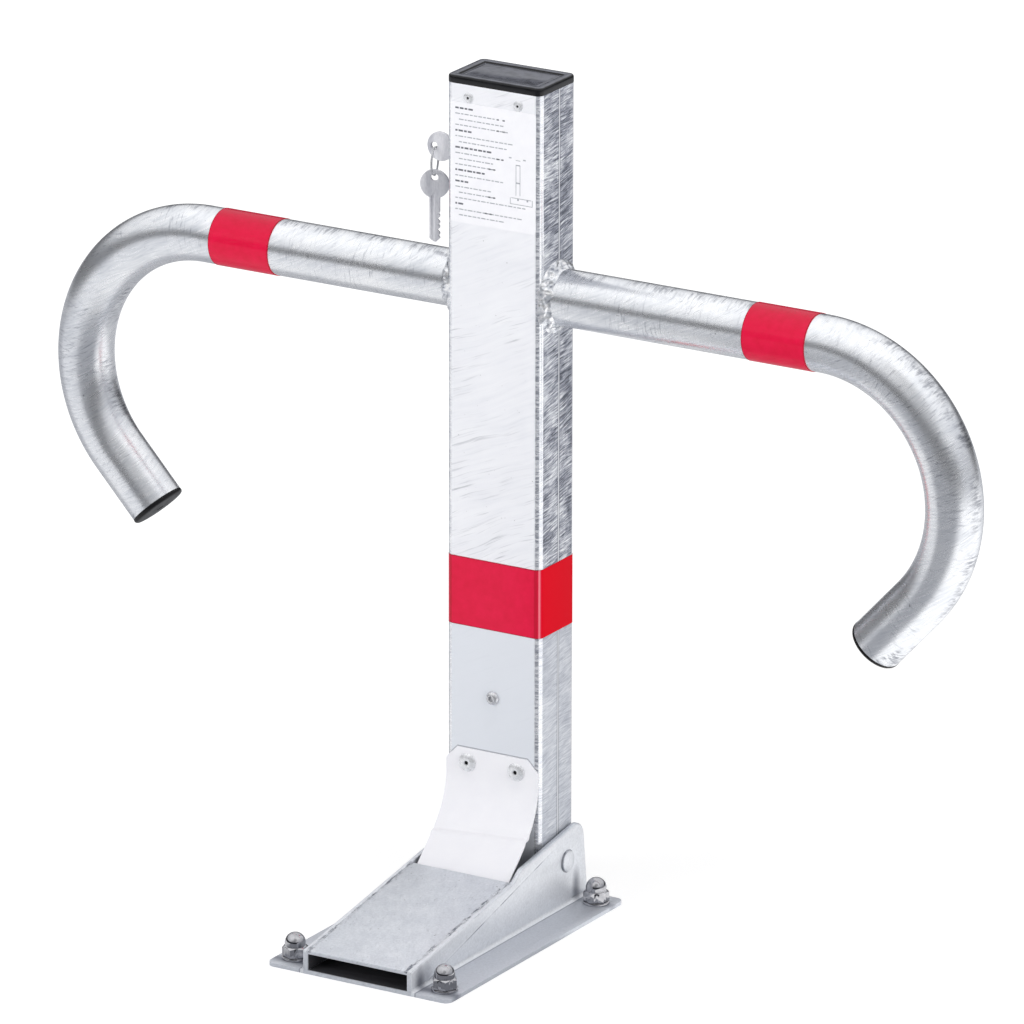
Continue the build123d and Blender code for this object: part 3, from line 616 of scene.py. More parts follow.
def line_object(points):
    """A poly curve through points in millimetres."""
    curve = bpy.data.curves.new("line", "CURVE")
    curve.dimensions = "3D"
    spline = curve.splines.new("POLY")
    spline.points.add(len(points) - 1)
    for target, point in zip(spline.points, points):
        target.co = (point[0] * mm, point[1] * mm, point[2] * mm, 1)
    return placed("line", curve)


def point_object(places, values):
    """Loose points in millimetres, each with a vector stored on it: a turn in radians or a size."""
    mesh = bpy.data.meshes.new("points")
    mesh.from_pydata([tuple(Vector(p) * mm) for p in places], [], [])
    stored = mesh.attributes.new("stored", "FLOAT_VECTOR", "POINT")
    for item, value in zip(stored.data, values):
        item.vector = value
    return placed("points", mesh)


def tube_tree():
    """Sweeps a round section along a curve."""
    tree, given = geometry_tree("round_tube", [("Radius", "NodeSocketFloat"), ("Sides", "NodeSocketInt"),
                                ("Closed ends", "NodeSocketBool")])
    section = add(tree, "GeometryNodeCurvePrimitiveCircle", {"Resolution": given["Sides"],
                  "Radius": given["Radius"]})
    swept = add(tree, "GeometryNodeCurveToMesh", {"Curve": given["Geometry"],
                "Profile Curve": section.outputs["Curve"], "Fill Caps": given["Closed ends"]})
    return close_tree(tree, swept.outputs["Mesh"], given)


def copies_tree():
    """Puts a template on each point, turned by the vector stored there."""
    tree, given = geometry_tree("copies_on_points", [("Template", "NodeSocketObject")])
    template = add(tree, "GeometryNodeObjectInfo", {"Object": given["Template"]})
    turn = add(tree, "GeometryNodeInputNamedAttribute", {"Name": "stored"}, data_type="FLOAT_VECTOR")
    copied = add(tree, "GeometryNodeInstanceOnPoints", {"Points": given["Geometry"],
                 "Instance": template.outputs["Geometry"], "Rotation": turn.outputs["Attribute"]})
    return close_tree(tree, copied.outputs["Instances"], given)


round_tube = tube_tree()
copies_on_points = copies_tree()


def copies(name, profile, places, turns, finish, steps=72):
    """One turned template, copied onto points by Geometry Nodes."""
    template = turned("template", profile, (0, 0, 0), (0, 0, 1), finish, steps)
    made = grow(name, point_object(places, turns), copies_on_points, {"Template": template}, finish)
    bpy.data.objects.remove(template)
    return made


# %% [markdown]
# The post is an 80 x 50 mm rectangular tube with a 5 mm corner radius. A ring of points goes round the
# section, with an arc at each corner, and rings at two heights make the tube; its wall is a second set of
# rings inside. The same function makes the red band and the moulded cap, whose rings step in and down for
# its rounded rim and its recess.

# %% Rounded rectangular pieces
post_width, post_depth, post_corner, post_wall = 80.0, 50.0, 5.0, 3.0
post_bottom, post_top, cap_top, band_film = 12.0, 630.5, 636.5, 0.3
front_face = -post_depth / 2


def section_ring(inset, z, steps=9):
    """The post's outline, moved inwards by an inset, at a height."""
    corner = max(post_corner - inset, 0.6)
    x, y = post_width / 2 - inset - corner, post_depth / 2 - inset - corner
    ring = []
    for quarter, (sx, sy) in enumerate(((1, 1), (-1, 1), (-1, -1), (1, -1))):
        for i in range(steps):
            angle = (quarter + i / (steps - 1)) * pi / 2
            ring.append(Vector((sx * x + corner * cos(angle), sy * y + corner * sin(angle), z)) * mm)
    return ring


def ring_stack(name, levels, finish, solid=False):
    """Joins rings of the section, given as (inset, z). A solid stack ends in a flat face at both ends;
    another joins its last ring to its first, as a tube with a wall."""
    points = [p for inset, z in levels for p in section_ring(inset, z)]
    n = len(points) // len(levels)
    faces = joined_rings(len(levels), n, closed=not solid)
    if solid:
        faces += [tuple(reversed(range(n))), tuple(range(len(points) - n, len(points)))]
    return mesh_object(name, points, faces, finish, 40)


post = ring_stack("post_tube_zinc", [(0, post_bottom), (0, post_top), (post_wall, post_top),
                  (post_wall, post_bottom)], post_zinc)
ride(post, "post", "galvanised_steel", "post_tube")
band = ring_stack("post_band_film", [(-band_film, band_bottom), (-band_film, band_top), (0.02, band_top),
                  (0.02, band_bottom)], red_film)
ride(band, "post", "red_film", "band_post")
cap = ring_stack("moulded_top_cap", [
    (3.6, 612.0), (3.3, 628.0), (3.3, post_top), (0.0, post_top), (-0.15, post_top + 0.5), (-0.15, 634.6),
    (0.15, 635.6), (0.8, 636.25), (1.8, cap_top), (5.4, cap_top), (6.2, 636.2), (6.6, 635.4), (6.9, 635.1),
    (9.0, 635.1), (9.4, 635.35), (10.0, 635.35), (10.4, 635.1)], black_polypropylene, solid=True)
ride(cap, "post", "black_plastic", "top_cap")
print("post, band and cap:", [len(piece.data.vertices) for piece in (post, band, cap)], "points")

# %% [markdown]
# Each arm is a 42.4 mm tube: a straight run, a bend of 132.5 degrees and a short tail. The bend is a true
# arc, so the centre line is computed from its radius and angle. Geometry Nodes sweep the section, and
# Solidify gives the wall. A plastic plug closes the end. It has a thin flange, a slightly domed face and a
# small mark in the middle where the plastic entered the mould.

# %% Arms, their bands and end plugs
arm_root, bend_angle, tail, bend_steps = 38.5, radians(132.5), 49.0, 88
plug_profile = [(0, -14), (17.6, -14), (18.4, -12), (18.4, 0.02), (21.2, 0.02), (21.4, 0.6),
                (21.3, 1.9), (20.8, 2.7), (20.0, 3.15), (16.0, 3.4), (8.0, 3.7), (3.2, 3.8),
                (2.8, 3.5), (1.4, 3.5), (0, 3.5)]


def arm_line(side):
    """Points along an arm's centre line."""
    line = [(side * arm_root, 0, arm_height)]
    for i in range(bend_steps + 1):
        a = bend_angle * i / bend_steps
        out = straight_end + bend_radius * sin(a)
        line.append((side * out, 0, arm_height - bend_radius * (1 - cos(a))))
    x, _, z = line[-1]
    line.append((x + side * tail * cos(bend_angle), 0, z - tail * sin(bend_angle)))
    return line


def tube(name, line, radius, wall, finish):
    """A tube with a wall along a line."""
    made = grow(name, line_object(line), round_tube, {"Radius": radius * mm, "Sides": 96}, finish)
    thick = made.modifiers.new("wall", "SOLIDIFY")
    thick.thickness = wall * mm
    thick.offset = -1
    tidy(settled(made), 40)
    return made


for side, word in ((1, "right"), (-1, "left")):
    arm = tube("arm_tube_" + word, arm_line(side), arm_radius, arm_wall, arm_zinc)
    ride(arm, "post", "galvanised_steel", "arm_" + word)
    ends = [(corner.x / mm, 0, arm_height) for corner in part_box("band_" + word)]
    film = tube("arm_band_" + word, ends, arm_radius + 0.4, 0.35, red_film)
    ride(film, "post", "red_film", "band_" + word)
for side, word in ((1, "right"), (-1, "left")):
    direction = (side * cos(bend_angle), 0, -sin(bend_angle))
    plug = turned("end_plug_moulded_" + word, plug_profile, arm_line(side)[-1], direction, black_polyethylene)
    ride(plug, "post", "black_plastic", "end_plug_" + word)

# %% [markdown]
# The arms are welded on all round. A hand-laid bead is a row of overlapping drops, so its surface swells
# and dips every few millimetres. The bead is a curved band from the arm to the post whose middle is pushed
# out by noise, and on the front it climbs over the post's rounded corner.

# %% Weld beads
bead_steps, bead_across, drop_count = 180, 14, 21


def post_side(y):
    """X of the post's side at a given Y, rounded at the corners."""
    over = max(abs(y) - (post_depth / 2 - post_corner), 0)
    return post_width / 2 - post_corner + sqrt(max(post_corner ** 2 - over ** 2, 0.01))


def lumpy(p, size, seed):
    """Noise at a point of the bead, with features of a size in millimetres."""
    return noise.noise(Vector((p.x / size, p.y / size, p.z / size + seed)))


def weld_bead(name, side, seed):
    """A rough fillet bead between an arm and the post."""
    half = post_width / 2
    points = []
    for i in range(bead_steps):
        a = 2 * pi * i / bead_steps
        away = Vector((0, cos(a), sin(a)))
        spread = noise.noise(Vector((4 * cos(a), 4 * sin(a), seed)))
        leg = 6.8 + 1.6 * spread
        arm_toe = Vector((half + leg, 0, 0)) + away * (arm_radius - 0.1)
        foot = away * (arm_radius + leg)
        foot.y = max(min(foot.y, post_depth / 2 - 0.4), -post_depth / 2 + 0.4)
        post_toe = Vector((post_side(foot.y) - 0.1, foot.y, foot.z))
        middle = Vector((half + 2.4, 0, 0)) + away * (arm_radius + 2.4)
        outward = (Vector((1, 0, 0)) + away).normalized()
        ring = []
        for k in range(bead_across + 1):
            t = k / bead_across
            p = arm_toe.lerp(middle, t).lerp(middle.lerp(post_toe, t), t)
            drops = 0.5 + 0.5 * sin(a * drop_count + 1.8 * t + 5 * spread)
            swell = 0.5 * drops + 1.9 * lumpy(p, 5.0, seed) + 0.8 * lumpy(p, 2.0, seed)
            ring.append(p + outward * sin(pi * t) * swell)
        ring.append(Vector((half - 2.5, 0, 0)) + away * (arm_radius - 1.2))
        points += [Vector((side * p.x, p.y, p.z + arm_height)) * mm for p in ring]
    return mesh_object(name, points, joined_rings(bead_steps, bead_across + 2), weld_zinc, 80)


for side, word, seed in ((1, "right", 3.0), (-1, "left", 11.0)):
    ride(weld_bead("weld_bead_" + word, side, seed), "post", "galvanised_steel", "arm_weld_" + word)

# %% [markdown]
# The base is cut from plate. Each plate is a copy of its CAD solid: its loose triangles are merged, flat
# areas are dissolved back into whole faces, and a small bevel rounds the edges the way thick zinc does.

# %% Plates with softened edges
def softened(name, node, width, finish, body, slot):
    """A bevelled copy of a CAD node."""
    made = placed(name, frame["nodes"][node].data.copy())
    weld = made.modifiers.new("merge", "WELD")
    weld.merge_threshold = 0.004 * mm
    flat = made.modifiers.new("flat", "DECIMATE")
    flat.decimate_type = "DISSOLVE"
    flat.angle_limit = radians(1.5)
    edge = made.modifiers.new("edge", "BEVEL")
    edge.width = width * mm
    edge.segments = 3
    edge.limit_method = "ANGLE"
    edge.angle_limit = radians(50)
    mesh = settled(made)
    mesh.materials.clear()
    mesh.materials.append(finish)
    mesh.shade_smooth()
    mesh.set_sharp_from_angle(angle=radians(35))
    ride(made, body, slot, node)


for node, width in (("base_plate", 0.8), ("cheek_right", 0.6), ("cheek_left", 0.6), ("ramp_plate", 0.5)):
    softened(node + "_zinc", node, width, base_zinc, "base", "galvanised_steel")

# %% [markdown]
# Nuts, washers and rivets repeat, so Geometry Nodes copy one template onto points. A cap nut is a hexagon
# whose corners are cut by a cone, with a polished dome on a short neck. Each nut is turned as it was
# tightened.

# %% Cap nuts and washers
base_thick, washer_thick = 3.0, 2.0
anchor_x, anchor_front, anchor_rear = 64.0, -197.5, 17.5
nut_turns = [9, 24, 35, 4]
dome_radius, nut_height, nut_flat = 7.8, 18.0, 8.5
anchors = [(side * anchor_x, y) for side in (-1, 1) for y in (anchor_front, anchor_rear)]
dome = [(dome_radius * cos(a), nut_height - dome_radius + dome_radius * sin(a))
        for a in [radians(d) for d in range(0, 90, 6)]]
nut_profile = [(0, 0), (8.0, 0), (8.45, 0.35), (nut_flat, 0.5, "hex"), (nut_flat, 7.5, "cut"), (8.35, 7.9),
               (7.9, 8.1), (7.55, 8.3), (7.55, 8.9), (dome_radius, 9.2)] + dome + [(0, nut_height)]
nuts = copies("cap_nuts_polished", nut_profile, [(x, y, base_thick + washer_thick) for x, y in anchors],
              [(0, 0, radians(t)) for t in nut_turns], stainless)
ride(nuts, "base", "stainless_steel", "cap_nuts")
washer_profile = [(5.3, 0), (9.8, 0), (10.0, 0.2), (10.0, 1.5), (9.85, 1.85), (9.5, 2.0), (5.3, 2.0),
                  (5.3, 0)]
rings = copies("washers_polished", washer_profile, [(x, y, base_thick) for x, y in anchors],
               [(0, 0, 0)] * len(anchors), stainless)
ride(rings, "base", "stainless_steel", "washers")

# %% [markdown]
# Two blind rivets hold the guard and two hold the cap. Each has a domed head with a hole, and the broken
# end of its steel mandrel shows in it, painted near black as the shade in the hole. A button-head screw
# with a hexagon socket and the turned pivot pin are single pieces.

# %% Rivets, front screw and pivot pin
guard_thick, rivet_x, guard_rivet_z, cap_rivet_z, screw_z = 1.2, 21.0, 111.0, 621.0, 164.5
facing_front = (radians(90), 0, 0)


def rivet_profile(head, thick, hole):
    """A domed blind rivet's head, with the hole that the mandrel leaves."""
    r = head / 2
    return [(0, -2.0), (r * 0.3, -2.0), (r * 0.3, 0.0), (r * 0.97, 0.0), (r, 0.25 * thick),
            (r * 0.93, 0.5 * thick), (r * 0.78, 0.76 * thick), (r * 0.58, 0.95 * thick), (r * 0.4, thick),
            (hole * 1.25, thick), (hole, 0.92 * thick), (hole, -0.9 * thick), (0, -0.9 * thick)]


def rivet_pair(name, profile, y, z, finish, steps=72):
    """Two copies of a rivet or of its mandrel, side by side on the post's front."""
    places = [(side * rivet_x, y, z) for side in (-1, 1)]
    return copies(name, profile, places, [facing_front] * 2, finish, steps)


# Each kind has its head's diameter and height, its hole's radius, the mandrel's two ends and its place
rivet_kinds = {"guard": (14.0, 2.2, 1.6, -1.2, 1.35, front_face - guard_thick, guard_rivet_z),
               "cap": (8.0, 1.4, 1.0, -1.0, 0.8, front_face, cap_rivet_z)}
for word, (head, thick, hole, _, _, y, z) in rivet_kinds.items():
    rivets = rivet_pair(word + "_rivet_heads", rivet_profile(head, thick, hole), y, z, aluminium)
    ride(rivets, "post", "aluminium", word + "_rivets")
for word, (_, _, hole, deep, reach, y, z) in rivet_kinds.items():
    mandrel = [(0, deep), (hole - 0.02, deep), (hole - 0.02, reach), (0, reach)]
    ends = rivet_pair(word + "_rivet_mandrels", mandrel, y, z, mandrel_shade_black, 24)
    ride(ends, "post", "spring_steel")

screw_profile = [(0, -3.0), (3.0, -3.0), (3.0, 0), (5.1, 0), (5.3, 0.3), (5.2, 0.9), (4.7, 1.9), (3.9, 2.7),
                 (3.0, 3.1), (2.45, 3.2), (2.1, 3.15, "hex"), (2.0, 3.0, "hex"), (2.0, 1.2, "hex"), (0, 1.0)]
screw = turned("front_button_screw", screw_profile, (0, front_face, screw_z), (0, -1, 0), satin_stainless)
ride(screw, "post", "stainless_steel", "front_screw")

pin_head = [(6.0, -0.02), (7.8, -0.02), (pin_radius, 0.2), (pin_radius, 1.0), (7.75, 1.5), (7.2, 1.8),
            (0, 1.85)]
pin_profile = [(r, -cheek_outer - over) for r, over in reversed(pin_head)]
pin_profile += [(r, cheek_outer + over) for r, over in pin_head]
pin = turned("pivot_pin_turned", pin_profile, (0, pivot_y, pivot_z), (1, 0, 0), base_zinc)
ride(pin, "base", "galvanised_steel", "pivot_pin")

# %% [markdown]
# The guard is a white polypropylene sheet that covers the gap between the post and the ramp. It is
# flexible: it hangs from two rivets, curves forward and slides under the ramp plate. Its line is made of
# arcs and straights, then a grid is laid along it, with soft waves and a slanting crease, as a sheet that
# has been bent for a while has. It crosses the fold joint.

# %% Guard sheet
guard_bend_start, crease_at, guard_columns = 104.0, 64.0, 40
guard_radius, guard_angle, guard_slope, lower_radius, tongue = 56.0, radians(46), 33.0, 26.0, 66.0


def guard_line():
    """The guard's mid line from top to bottom as (distance along, y, z, turn)."""
    rest = pi / 2 - atan(ramp_slope)
    runs = [(guard_top - guard_bend_start, None), (guard_radius * guard_angle, guard_radius),
            (guard_slope, None), (lower_radius * (rest - guard_angle), lower_radius), (tongue, None)]
    y, z, turn, along = front_face - guard_thick / 2, guard_top, 0.0, 0.0
    line = [(0.0, y, z, 0.0)]
    for run, radius in runs:
        steps = max(int(run / 1.6), 2)
        for _ in range(steps):
            step = run / steps
            bend = step / radius if radius else 0.0
            y -= step * sin(turn + bend / 2)
            z -= step * cos(turn + bend / 2)
            turn += bend
            along += step
            line.append((along, y, z, turn))
    return line


def held(value):
    """A value held between 0 and 1."""
    return max(0.0, min(1.0, value))


def guard_mesh():
    """The guard as a grid of points and faces, before it gets its thickness."""
    line = guard_line()
    points = []
    for along, y, z, turn in line:
        half = guard_half - max(guard_corner - along, 0)
        free = held((along - 24) / 30) * held((128 - along) / 24)
        for c in range(guard_columns + 1):
            u = 2 * c / guard_columns - 1
            wave = 0.55 * sin(along * 0.05 + 0.6) * (u * u - 0.35)
            wave += 0.25 * noise.noise(Vector((u * 1.6, along * 0.03, 0)))
            crease = 1.1 * sin(min(max((along - crease_at + 3.0 * u) / 4.0, -1.0), 1.0) * pi)
            lift = free * (wave + crease)
            points.append(Vector((u * half, y - lift * cos(turn), z + lift * sin(turn))) * mm)
    n = guard_columns + 1
    faces = [(r * n + c, (r + 1) * n + c, (r + 1) * n + c + 1, r * n + c + 1)
             for r in range(len(line) - 1) for c in range(guard_columns)]
    return points, faces


guard = mesh_object("guard_sheet_white", *guard_mesh(), white_sheet, 60)
thick = guard.modifiers.new("thickness", "SOLIDIFY")
thick.thickness = guard_thick * mm
thick.offset = 0
tidy(settled(guard), 60)
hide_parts("guard_sheet")
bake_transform(guard)
print("guard sheet:", len(guard.data.vertices), "points")

# %% [markdown]
# The label's print is far too small to read here, so it is drawn as what the eye sees: rows of short grey
# dashes, with a simple drawing of a post on its base. The dashes are flat rectangles that Geometry Nodes
# put on points, each stretched by the width and height stored on its point.

# %% Label print
label_left, label_top, label_face, row_pitch = -36.0, 617.0, front_face - 0.52, 4.25


def dashes_tree():
    """Puts a flat rectangle on each point, sized by the vector stored there."""
    tree, given = geometry_tree("printed_dashes", [])
    dash = add(tree, "GeometryNodeMeshGrid", {"Size X": 1.0, "Size Y": 1.0, "Vertices X": 2, "Vertices Y": 2})
    size = add(tree, "GeometryNodeInputNamedAttribute", {"Name": "stored"}, data_type="FLOAT_VECTOR")
    copied = add(tree, "GeometryNodeInstanceOnPoints", {"Points": given["Geometry"],
                 "Instance": dash.outputs["Mesh"], "Rotation": facing_front,
                 "Scale": size.outputs["Attribute"]})
    return close_tree(tree, copied.outputs["Instances"], given)


# Each row is its indent, its length and whether it is printed dark, as a heading is
rows = [(2, 15, 1), (2, 32, 0), (5, 36, 0), (2, 43, 0), (2, 14, 1), (2, 48, 0), (5, 40, 0), (2, 27, 1),
        (2, 35, 0), (5, 28, 0), (2, 30, 0), (2, 23, 1), (2, 39, 0), (2, 10, 1), (2, 28, 0), (5, 30, 0),
        (2, 58, 0), (2, 7, 1), (2, 56, 0), (5, 34, 0)]
arrows = {1: (40, 45), 3: (40, 45), 8: (40, 44), 10: (33, 37), 15: (33, 37), 18: (30, 34)}
marks, headings = [], []
for number, (indent, run, strong) in enumerate(rows):
    x, z = label_left + 2.0 + indent, label_top - 4.5 - number * row_pitch
    stop = x + run
    count = 0
    while x < stop:
        wide = 1.6 + 2.6 * (0.5 + 0.5 * sin(number * 7.3 + count * 2.9))
        (headings if strong else marks).append((x + wide / 2, z, wide, 1.35 if strong else 0.8))
        x += wide + 0.9
        count += 1
    headings += [(label_left + at, z, 2.0, 1.1) for at in arrows.get(number, ())]
# The drawing's dashes: place from the label's top left corner, width and height
drawing = [(55.5, -52.0, 0.5, 23.0), (58.9, -52.0, 0.5, 23.0), (57.2, -40.6, 3.4, 0.8),
           (57.2, -54.0, 3.4, 1.0), (60.0, -65.6, 17.0, 0.5), (60.0, -70.2, 19.0, 0.5),
           (50.7, -67.9, 0.5, 4.6), (69.3, -67.9, 0.5, 4.6), (57.2, -37.0, 4.0, 0.5),
           (50.6, -35.6, 2.2, 1.0), (62.6, -36.0, 2.2, 1.0), (57.2, -66.6, 1.4, 1.4), (65.2, -66.4, 1.4, 1.4)]
marks += [(label_left + x, label_top + z, w, h) for x, z, w, h in drawing]
printed_dashes = dashes_tree()
for name, group, ink in (("label_print", marks, label_ink), ("label_headings", headings, heading_ink)):
    places = [(x, label_face, z) for x, z, _, _ in group]
    dots = point_object(places, [(w * mm, h * mm, mm) for _, _, w, h in group])
    ride(grow(name, dots, printed_dashes, {}, ink), "post", "label_film")
    print(name, len(group), "dashes")

# %% [markdown]
# The key ring is a coil of flat wire, which reads as two thin rings side by side. The keys and the lock
# keep their CAD shape, with a fine bevel on their stamped edges.

# %% Lock, keys and ring
for node, width, finish, body, slot in (
        ("lock_body", 0.2, chromed_zinc, "post", "chromed_zinc"),
        ("lock_plug", 0.15, chromed_zinc, "lock", "chromed_zinc"),
        ("key_in_lock", 0.3, nickelled_brass, "lock", "nickel_brass"),
        ("hanging_key", 0.3, nickelled_brass, "spare_key", "nickel_brass")):
    softened(node + "_fine", node, width, finish, body, slot)

coil_middle, coil_offset, wire_deep, wire_thick = 10.5, 0.38, 0.62, 0.4
ring_turn, ring_steps = radians(17.7), 96
low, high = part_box("key_ring")
ring_centre = (low + high) / 2
ring_profile = []
for side, first in ((1, -100), (-1, 80)):
    for a in [radians(first + 25 * i) for i in range(9)]:
        ring_profile.append((coil_middle + wire_deep * cos(a), side * coil_offset + wire_thick * sin(a)))
points = []
for i in range(ring_steps):
    a = 2 * pi * i / ring_steps
    for r, h in ring_profile:
        forward = r * cos(a)
        points.append(ring_centre + mm * Vector((h * cos(ring_turn) - forward * sin(ring_turn),
                                                 h * sin(ring_turn) + forward * cos(ring_turn), r * sin(a))))
ring = mesh_object("key_ring_coil", points, joined_rings(ring_steps, len(ring_profile)), nickelled_wire, 50)
ride(ring, "ring", "spring_steel", "key_ring")

# %% [markdown]
# A coil spring in the ramp holds the sprung block under the post. It gets shorter when the block is pushed
# in, so it is drawn as its own coil along the ramp.

# %% Buffer spring
spring_wire, spring_turns, turn_steps, buffer_travel = 2.8, 9, 32, 8.0
low, high = [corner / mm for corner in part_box("buffer_spring")]
coil_radius = (high.x - low.x - spring_wire) / 2
coil_length = high.y - low.y - spring_wire
axis_z = (low.z + high.z) / 2
coil = []
for i in range(spring_turns * turn_steps + 1):
    a = 2 * pi * i / turn_steps
    y = low.y + spring_wire / 2 + coil_length * i / (spring_turns * turn_steps)
    coil.append((coil_radius * cos(a), y, axis_z + coil_radius * sin(a)))
spring = grow("buffer_spring_coil", line_object(coil), round_tube,
              {"Radius": spring_wire / 2 * mm, "Sides": 14, "Closed ends": True}, spring_steel, 50)
ride(spring, "base", "spring_steel", "buffer_spring")
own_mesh(spring)
print("spring:", len(spring.data.vertices), "points")

# %% [markdown]
# What is left are the CAD nodes whose shape is already right: inner pieces and small flat ones. They keep
# their mesh and get the finish of their material.

# %% Finishes for the CAD nodes that stay
by_slot = {"galvanised_steel": base_zinc, "zinc_plated_steel": zinc_plated, "spring_steel": spring_steel,
           "stainless_steel": stainless, "aluminium": aluminium, "chromed_zinc": chromed_zinc,
           "nickel_brass": nickelled_brass, "black_plastic": black_polypropylene, "nylon": nylon,
           "red_film": red_film, "white_sheet": white_sheet, "label_film": label_film}
for entry in frame["record"]["subparts"]:
    shown = frame["nodes"][entry["node"]]
    shown.data.materials.clear()
    shown.data.materials.append(by_slot[entry["material_slot"]])

# %% [markdown]
# The studio is a white sweep. A big soft lamp stands at the front left, so the post's broad face is bright
# and its narrow side is darker. A weaker one hangs overhead and a third fills in from the right. Metal
# shows its surroundings, so those are described for glossy rays: light above, a dark band about eye level,
# dark areas in front and high above the camera's side, a bright one at the right, and light and dark
# stretches of floor.

# %% Floor, world and lamps
def towards(vector, azimuth, near, wide, elevation=0):
    """1 for directions near an azimuth (degrees from the front, to the right) and an elevation, fading to 0
    over a range of degrees."""
    a, e = radians(azimuth), radians(elevation)
    along = vector.vector("DOT_PRODUCT", (cos(e) * sin(a), -cos(e) * cos(a), sin(e)), output="Value")
    return along.between(cos(radians(wide)), cos(radians(near)))


made, tree, place = material("studio_floor")
paths = add(tree, "ShaderNodeLightPath").outputs
distance = place.vector("LENGTH", output="Value")
far = add(tree, "ShaderNodeMapRange", {"Value": distance, 1: 0.45, 2: 0.95}, interpolation_type="SMOOTHSTEP")
shown = ramp(distance, [(0.1, "#E6E8EC"), (0.3, "#FFFFFF"), (1.0, "#F0F1F4")])
level = place.vector("NORMALIZE")
shown = painted(shown, towards(level, 16, 34, 44) * 0.9, "#83868E")
shown = painted(shown, towards(level, -115, 24, 36) * 0.65, "#7C7F88")
shown = painted(shown, towards(level, 183, 18, 30) * 0.55, "#7C7F88")
shown = painted(shown, towards(level, 100, 34, 41), (1.3, 1.3, 1.3, 1.0))
paper = add(tree, "ShaderNodeBsdfDiffuse", {"Color": linear("#FDFDFD")}).outputs[0]
white = add(tree, "ShaderNodeEmission", {"Color": (1, 1, 1, 1)}).outputs[0]
bright = add(tree, "ShaderNodeEmission", {"Color": (1, 1, 1, 1), "Strength": 1.3}).outputs[0]
mirrored = add(tree, "ShaderNodeEmission", {"Color": shown}).outputs[0]
plain = add(tree, "ShaderNodeMixShader", {0: far.outputs["Result"], 1: paper, 2: white}).outputs[0]
lifted = add(tree, "ShaderNodeMixShader", {0: 0.5, 1: plain, 2: bright}).outputs[0]
plain = add(tree, "ShaderNodeMixShader", {0: paths["Is Camera Ray"], 1: plain, 2: lifted}).outputs[0]
sweep = add(tree, "ShaderNodeMixShader", {0: paths["Is Glossy Ray"], 1: plain, 2: mirrored}).outputs[0]
add(tree, "ShaderNodeOutputMaterial", {"Surface": sweep})
floor_steps, floor_radius, floor_drop = 64, 3.2, -0.0002
rim = [(floor_radius * cos(a), floor_radius * sin(a), floor_drop)
       for a in [2 * pi * i / floor_steps for i in range(floor_steps)]]
floor = mesh_object("studio_floor", [(0, 0, floor_drop)] + rim,
                    [(0, 1 + i, 1 + (i + 1) % floor_steps) for i in range(floor_steps)], made)

world = bpy.data.worlds.new("studio_world")
world.use_nodes = True
tree = world.node_tree
tree.nodes.clear()
direction = Field(add(tree, "ShaderNodeTexCoord").outputs["Generated"])
level = direction.vector("NORMALIZE")
height = direction.parts()[2]
sky = ramp(height * 0.5 + 0.5, [(0.0, "#E4E6EA"), (0.43, "#E4E6EA"), (0.46, "#26272B"), (0.6, "#393A40"),
           (0.67, "#F0F1F3"), (1.0, "#FFFFFF")])
sky = painted(sky, height.between(0.5, 0.8), (1.25, 1.25, 1.25, 1.0))
sky = painted(sky, towards(level, 12, 24, 40) * 0.5, "#3A3B40")
sky = painted(sky, towards(level, 105, 20, 44) * 0.65, "#DDDFE4")
sky = painted(sky, towards(direction, 31, 8, 22, elevation=42) * 0.5, "#2E2F34")
glossy = add(tree, "ShaderNodeBackground", {"Color": sky, "Strength": 1.0}).outputs[0]
soft = add(tree, "ShaderNodeBackground", {"Color": linear("#ECECED"), "Strength": 0.5}).outputs[0]
seen = add(tree, "ShaderNodeBackground", {"Color": (1, 1, 1, 1), "Strength": 1.0}).outputs[0]
paths = add(tree, "ShaderNodeLightPath").outputs
lit = add(tree, "ShaderNodeMixShader", {0: paths["Is Glossy Ray"], 1: soft, 2: glossy}).outputs[0]
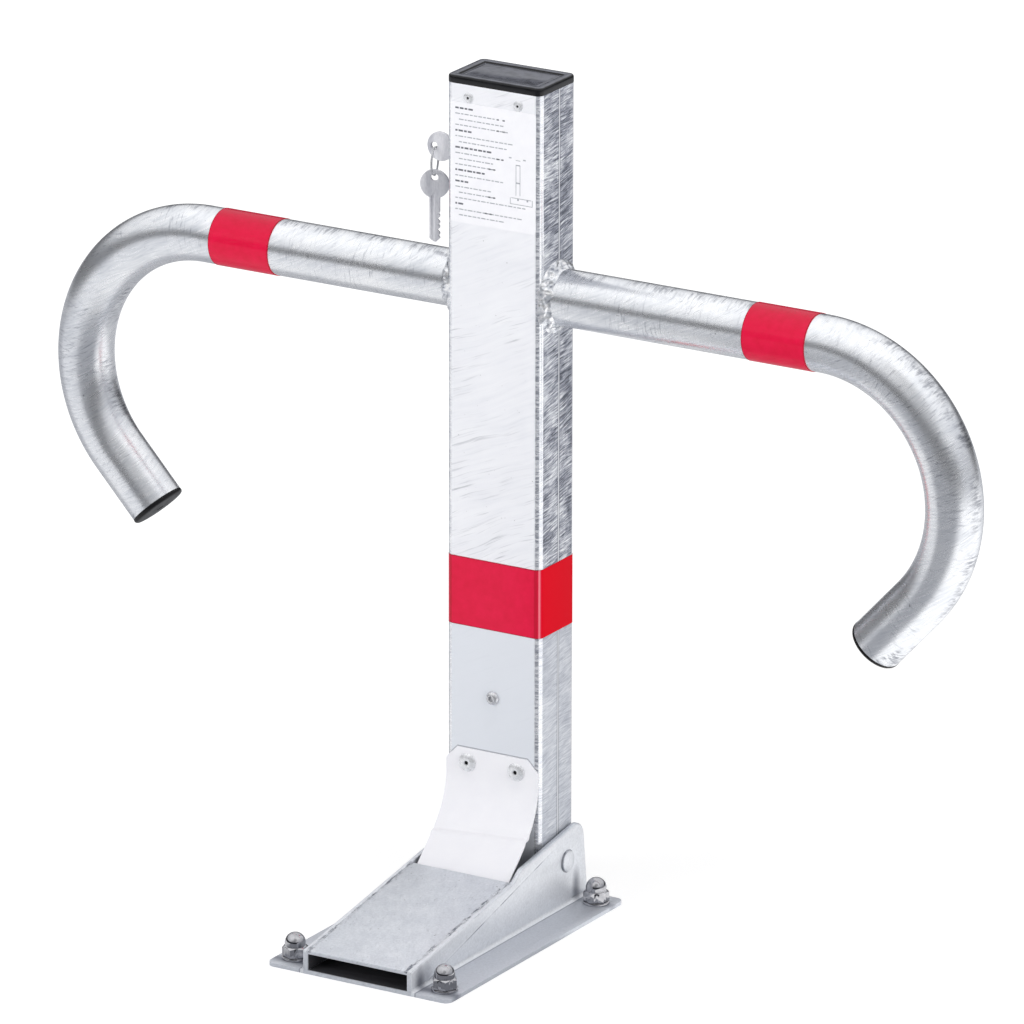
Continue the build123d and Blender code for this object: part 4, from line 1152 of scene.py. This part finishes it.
everything = add(tree, "ShaderNodeMixShader", {0: paths["Is Camera Ray"], 1: lit, 2: seen}).outputs[0]
add(tree, "ShaderNodeOutputWorld", {"Surface": everything})
bpy.context.scene.world = world


def lamp(name, place, size, power, aim=(0, 0, 0.3)):
    """A square soft lamp that points at the object. Metal reflects the described surroundings instead of
    the lamp."""
    data = bpy.data.lights.new(name, "AREA")
    data.size = size
    data.energy = power
    made = placed(name, data)
    made.location = place
    made.rotation_euler = (Vector(aim) - Vector(place)).to_track_quat("-Z", "Y").to_euler()
    made.visible_glossy = False


lamp("key_softbox", (-1.2, -2.1, 0.95), 1.4, 25)
lamp("top_softbox", (0.2, -0.3, 2.4), 1.6, 16)
lamp("fill_softbox", (2.2, -0.7, 0.7), 1.2, 21, aim=(0, 0, 0.15))

# %% [markdown]
# The camera stands far away with a long lens, so upright edges stay nearly parallel. It looks from 31
# degrees to the right of the ramp and 18 degrees above the ground.

# %% Camera
view_azimuth, view_elevation, view_roll = radians(31.146), radians(18.139), radians(0.086)
view_distance, view_lens, sensor = 8.14615, 389.91, 36.0
aim_right, aim_down, aim_height = 0.984, 0.335, 302.12
level_part = cos(view_elevation)
into = Vector((-sin(view_azimuth) * level_part, cos(view_azimuth) * level_part, -sin(view_elevation)))
right = Vector((cos(view_azimuth), sin(view_azimuth), 0))
up = right.cross(into)
rolled_right = cos(view_roll) * right + sin(view_roll) * up
rolled_up = cos(view_roll) * up - sin(view_roll) * right
aim = Vector((0, 0, aim_height)) * mm
spot = aim - into * view_distance
look = (aim + (rolled_right * aim_right - rolled_up * aim_down) * mm - spot).normalized()
side_axis = look.cross(rolled_up).normalized()
top_axis = side_axis.cross(look)
camera_data = bpy.data.cameras.new("photo_camera")
camera_data.lens, camera_data.sensor_width = view_lens, sensor
camera_data.clip_start, camera_data.clip_end = 0.5, 60
camera = placed("photo_camera", camera_data)
camera.matrix_world = Matrix.Translation(spot) @ Matrix((side_axis, top_axis, -look)).transposed().to_4x4()
bpy.context.scene.camera = camera
bpy.context.scene.view_settings.view_transform = "Standard"
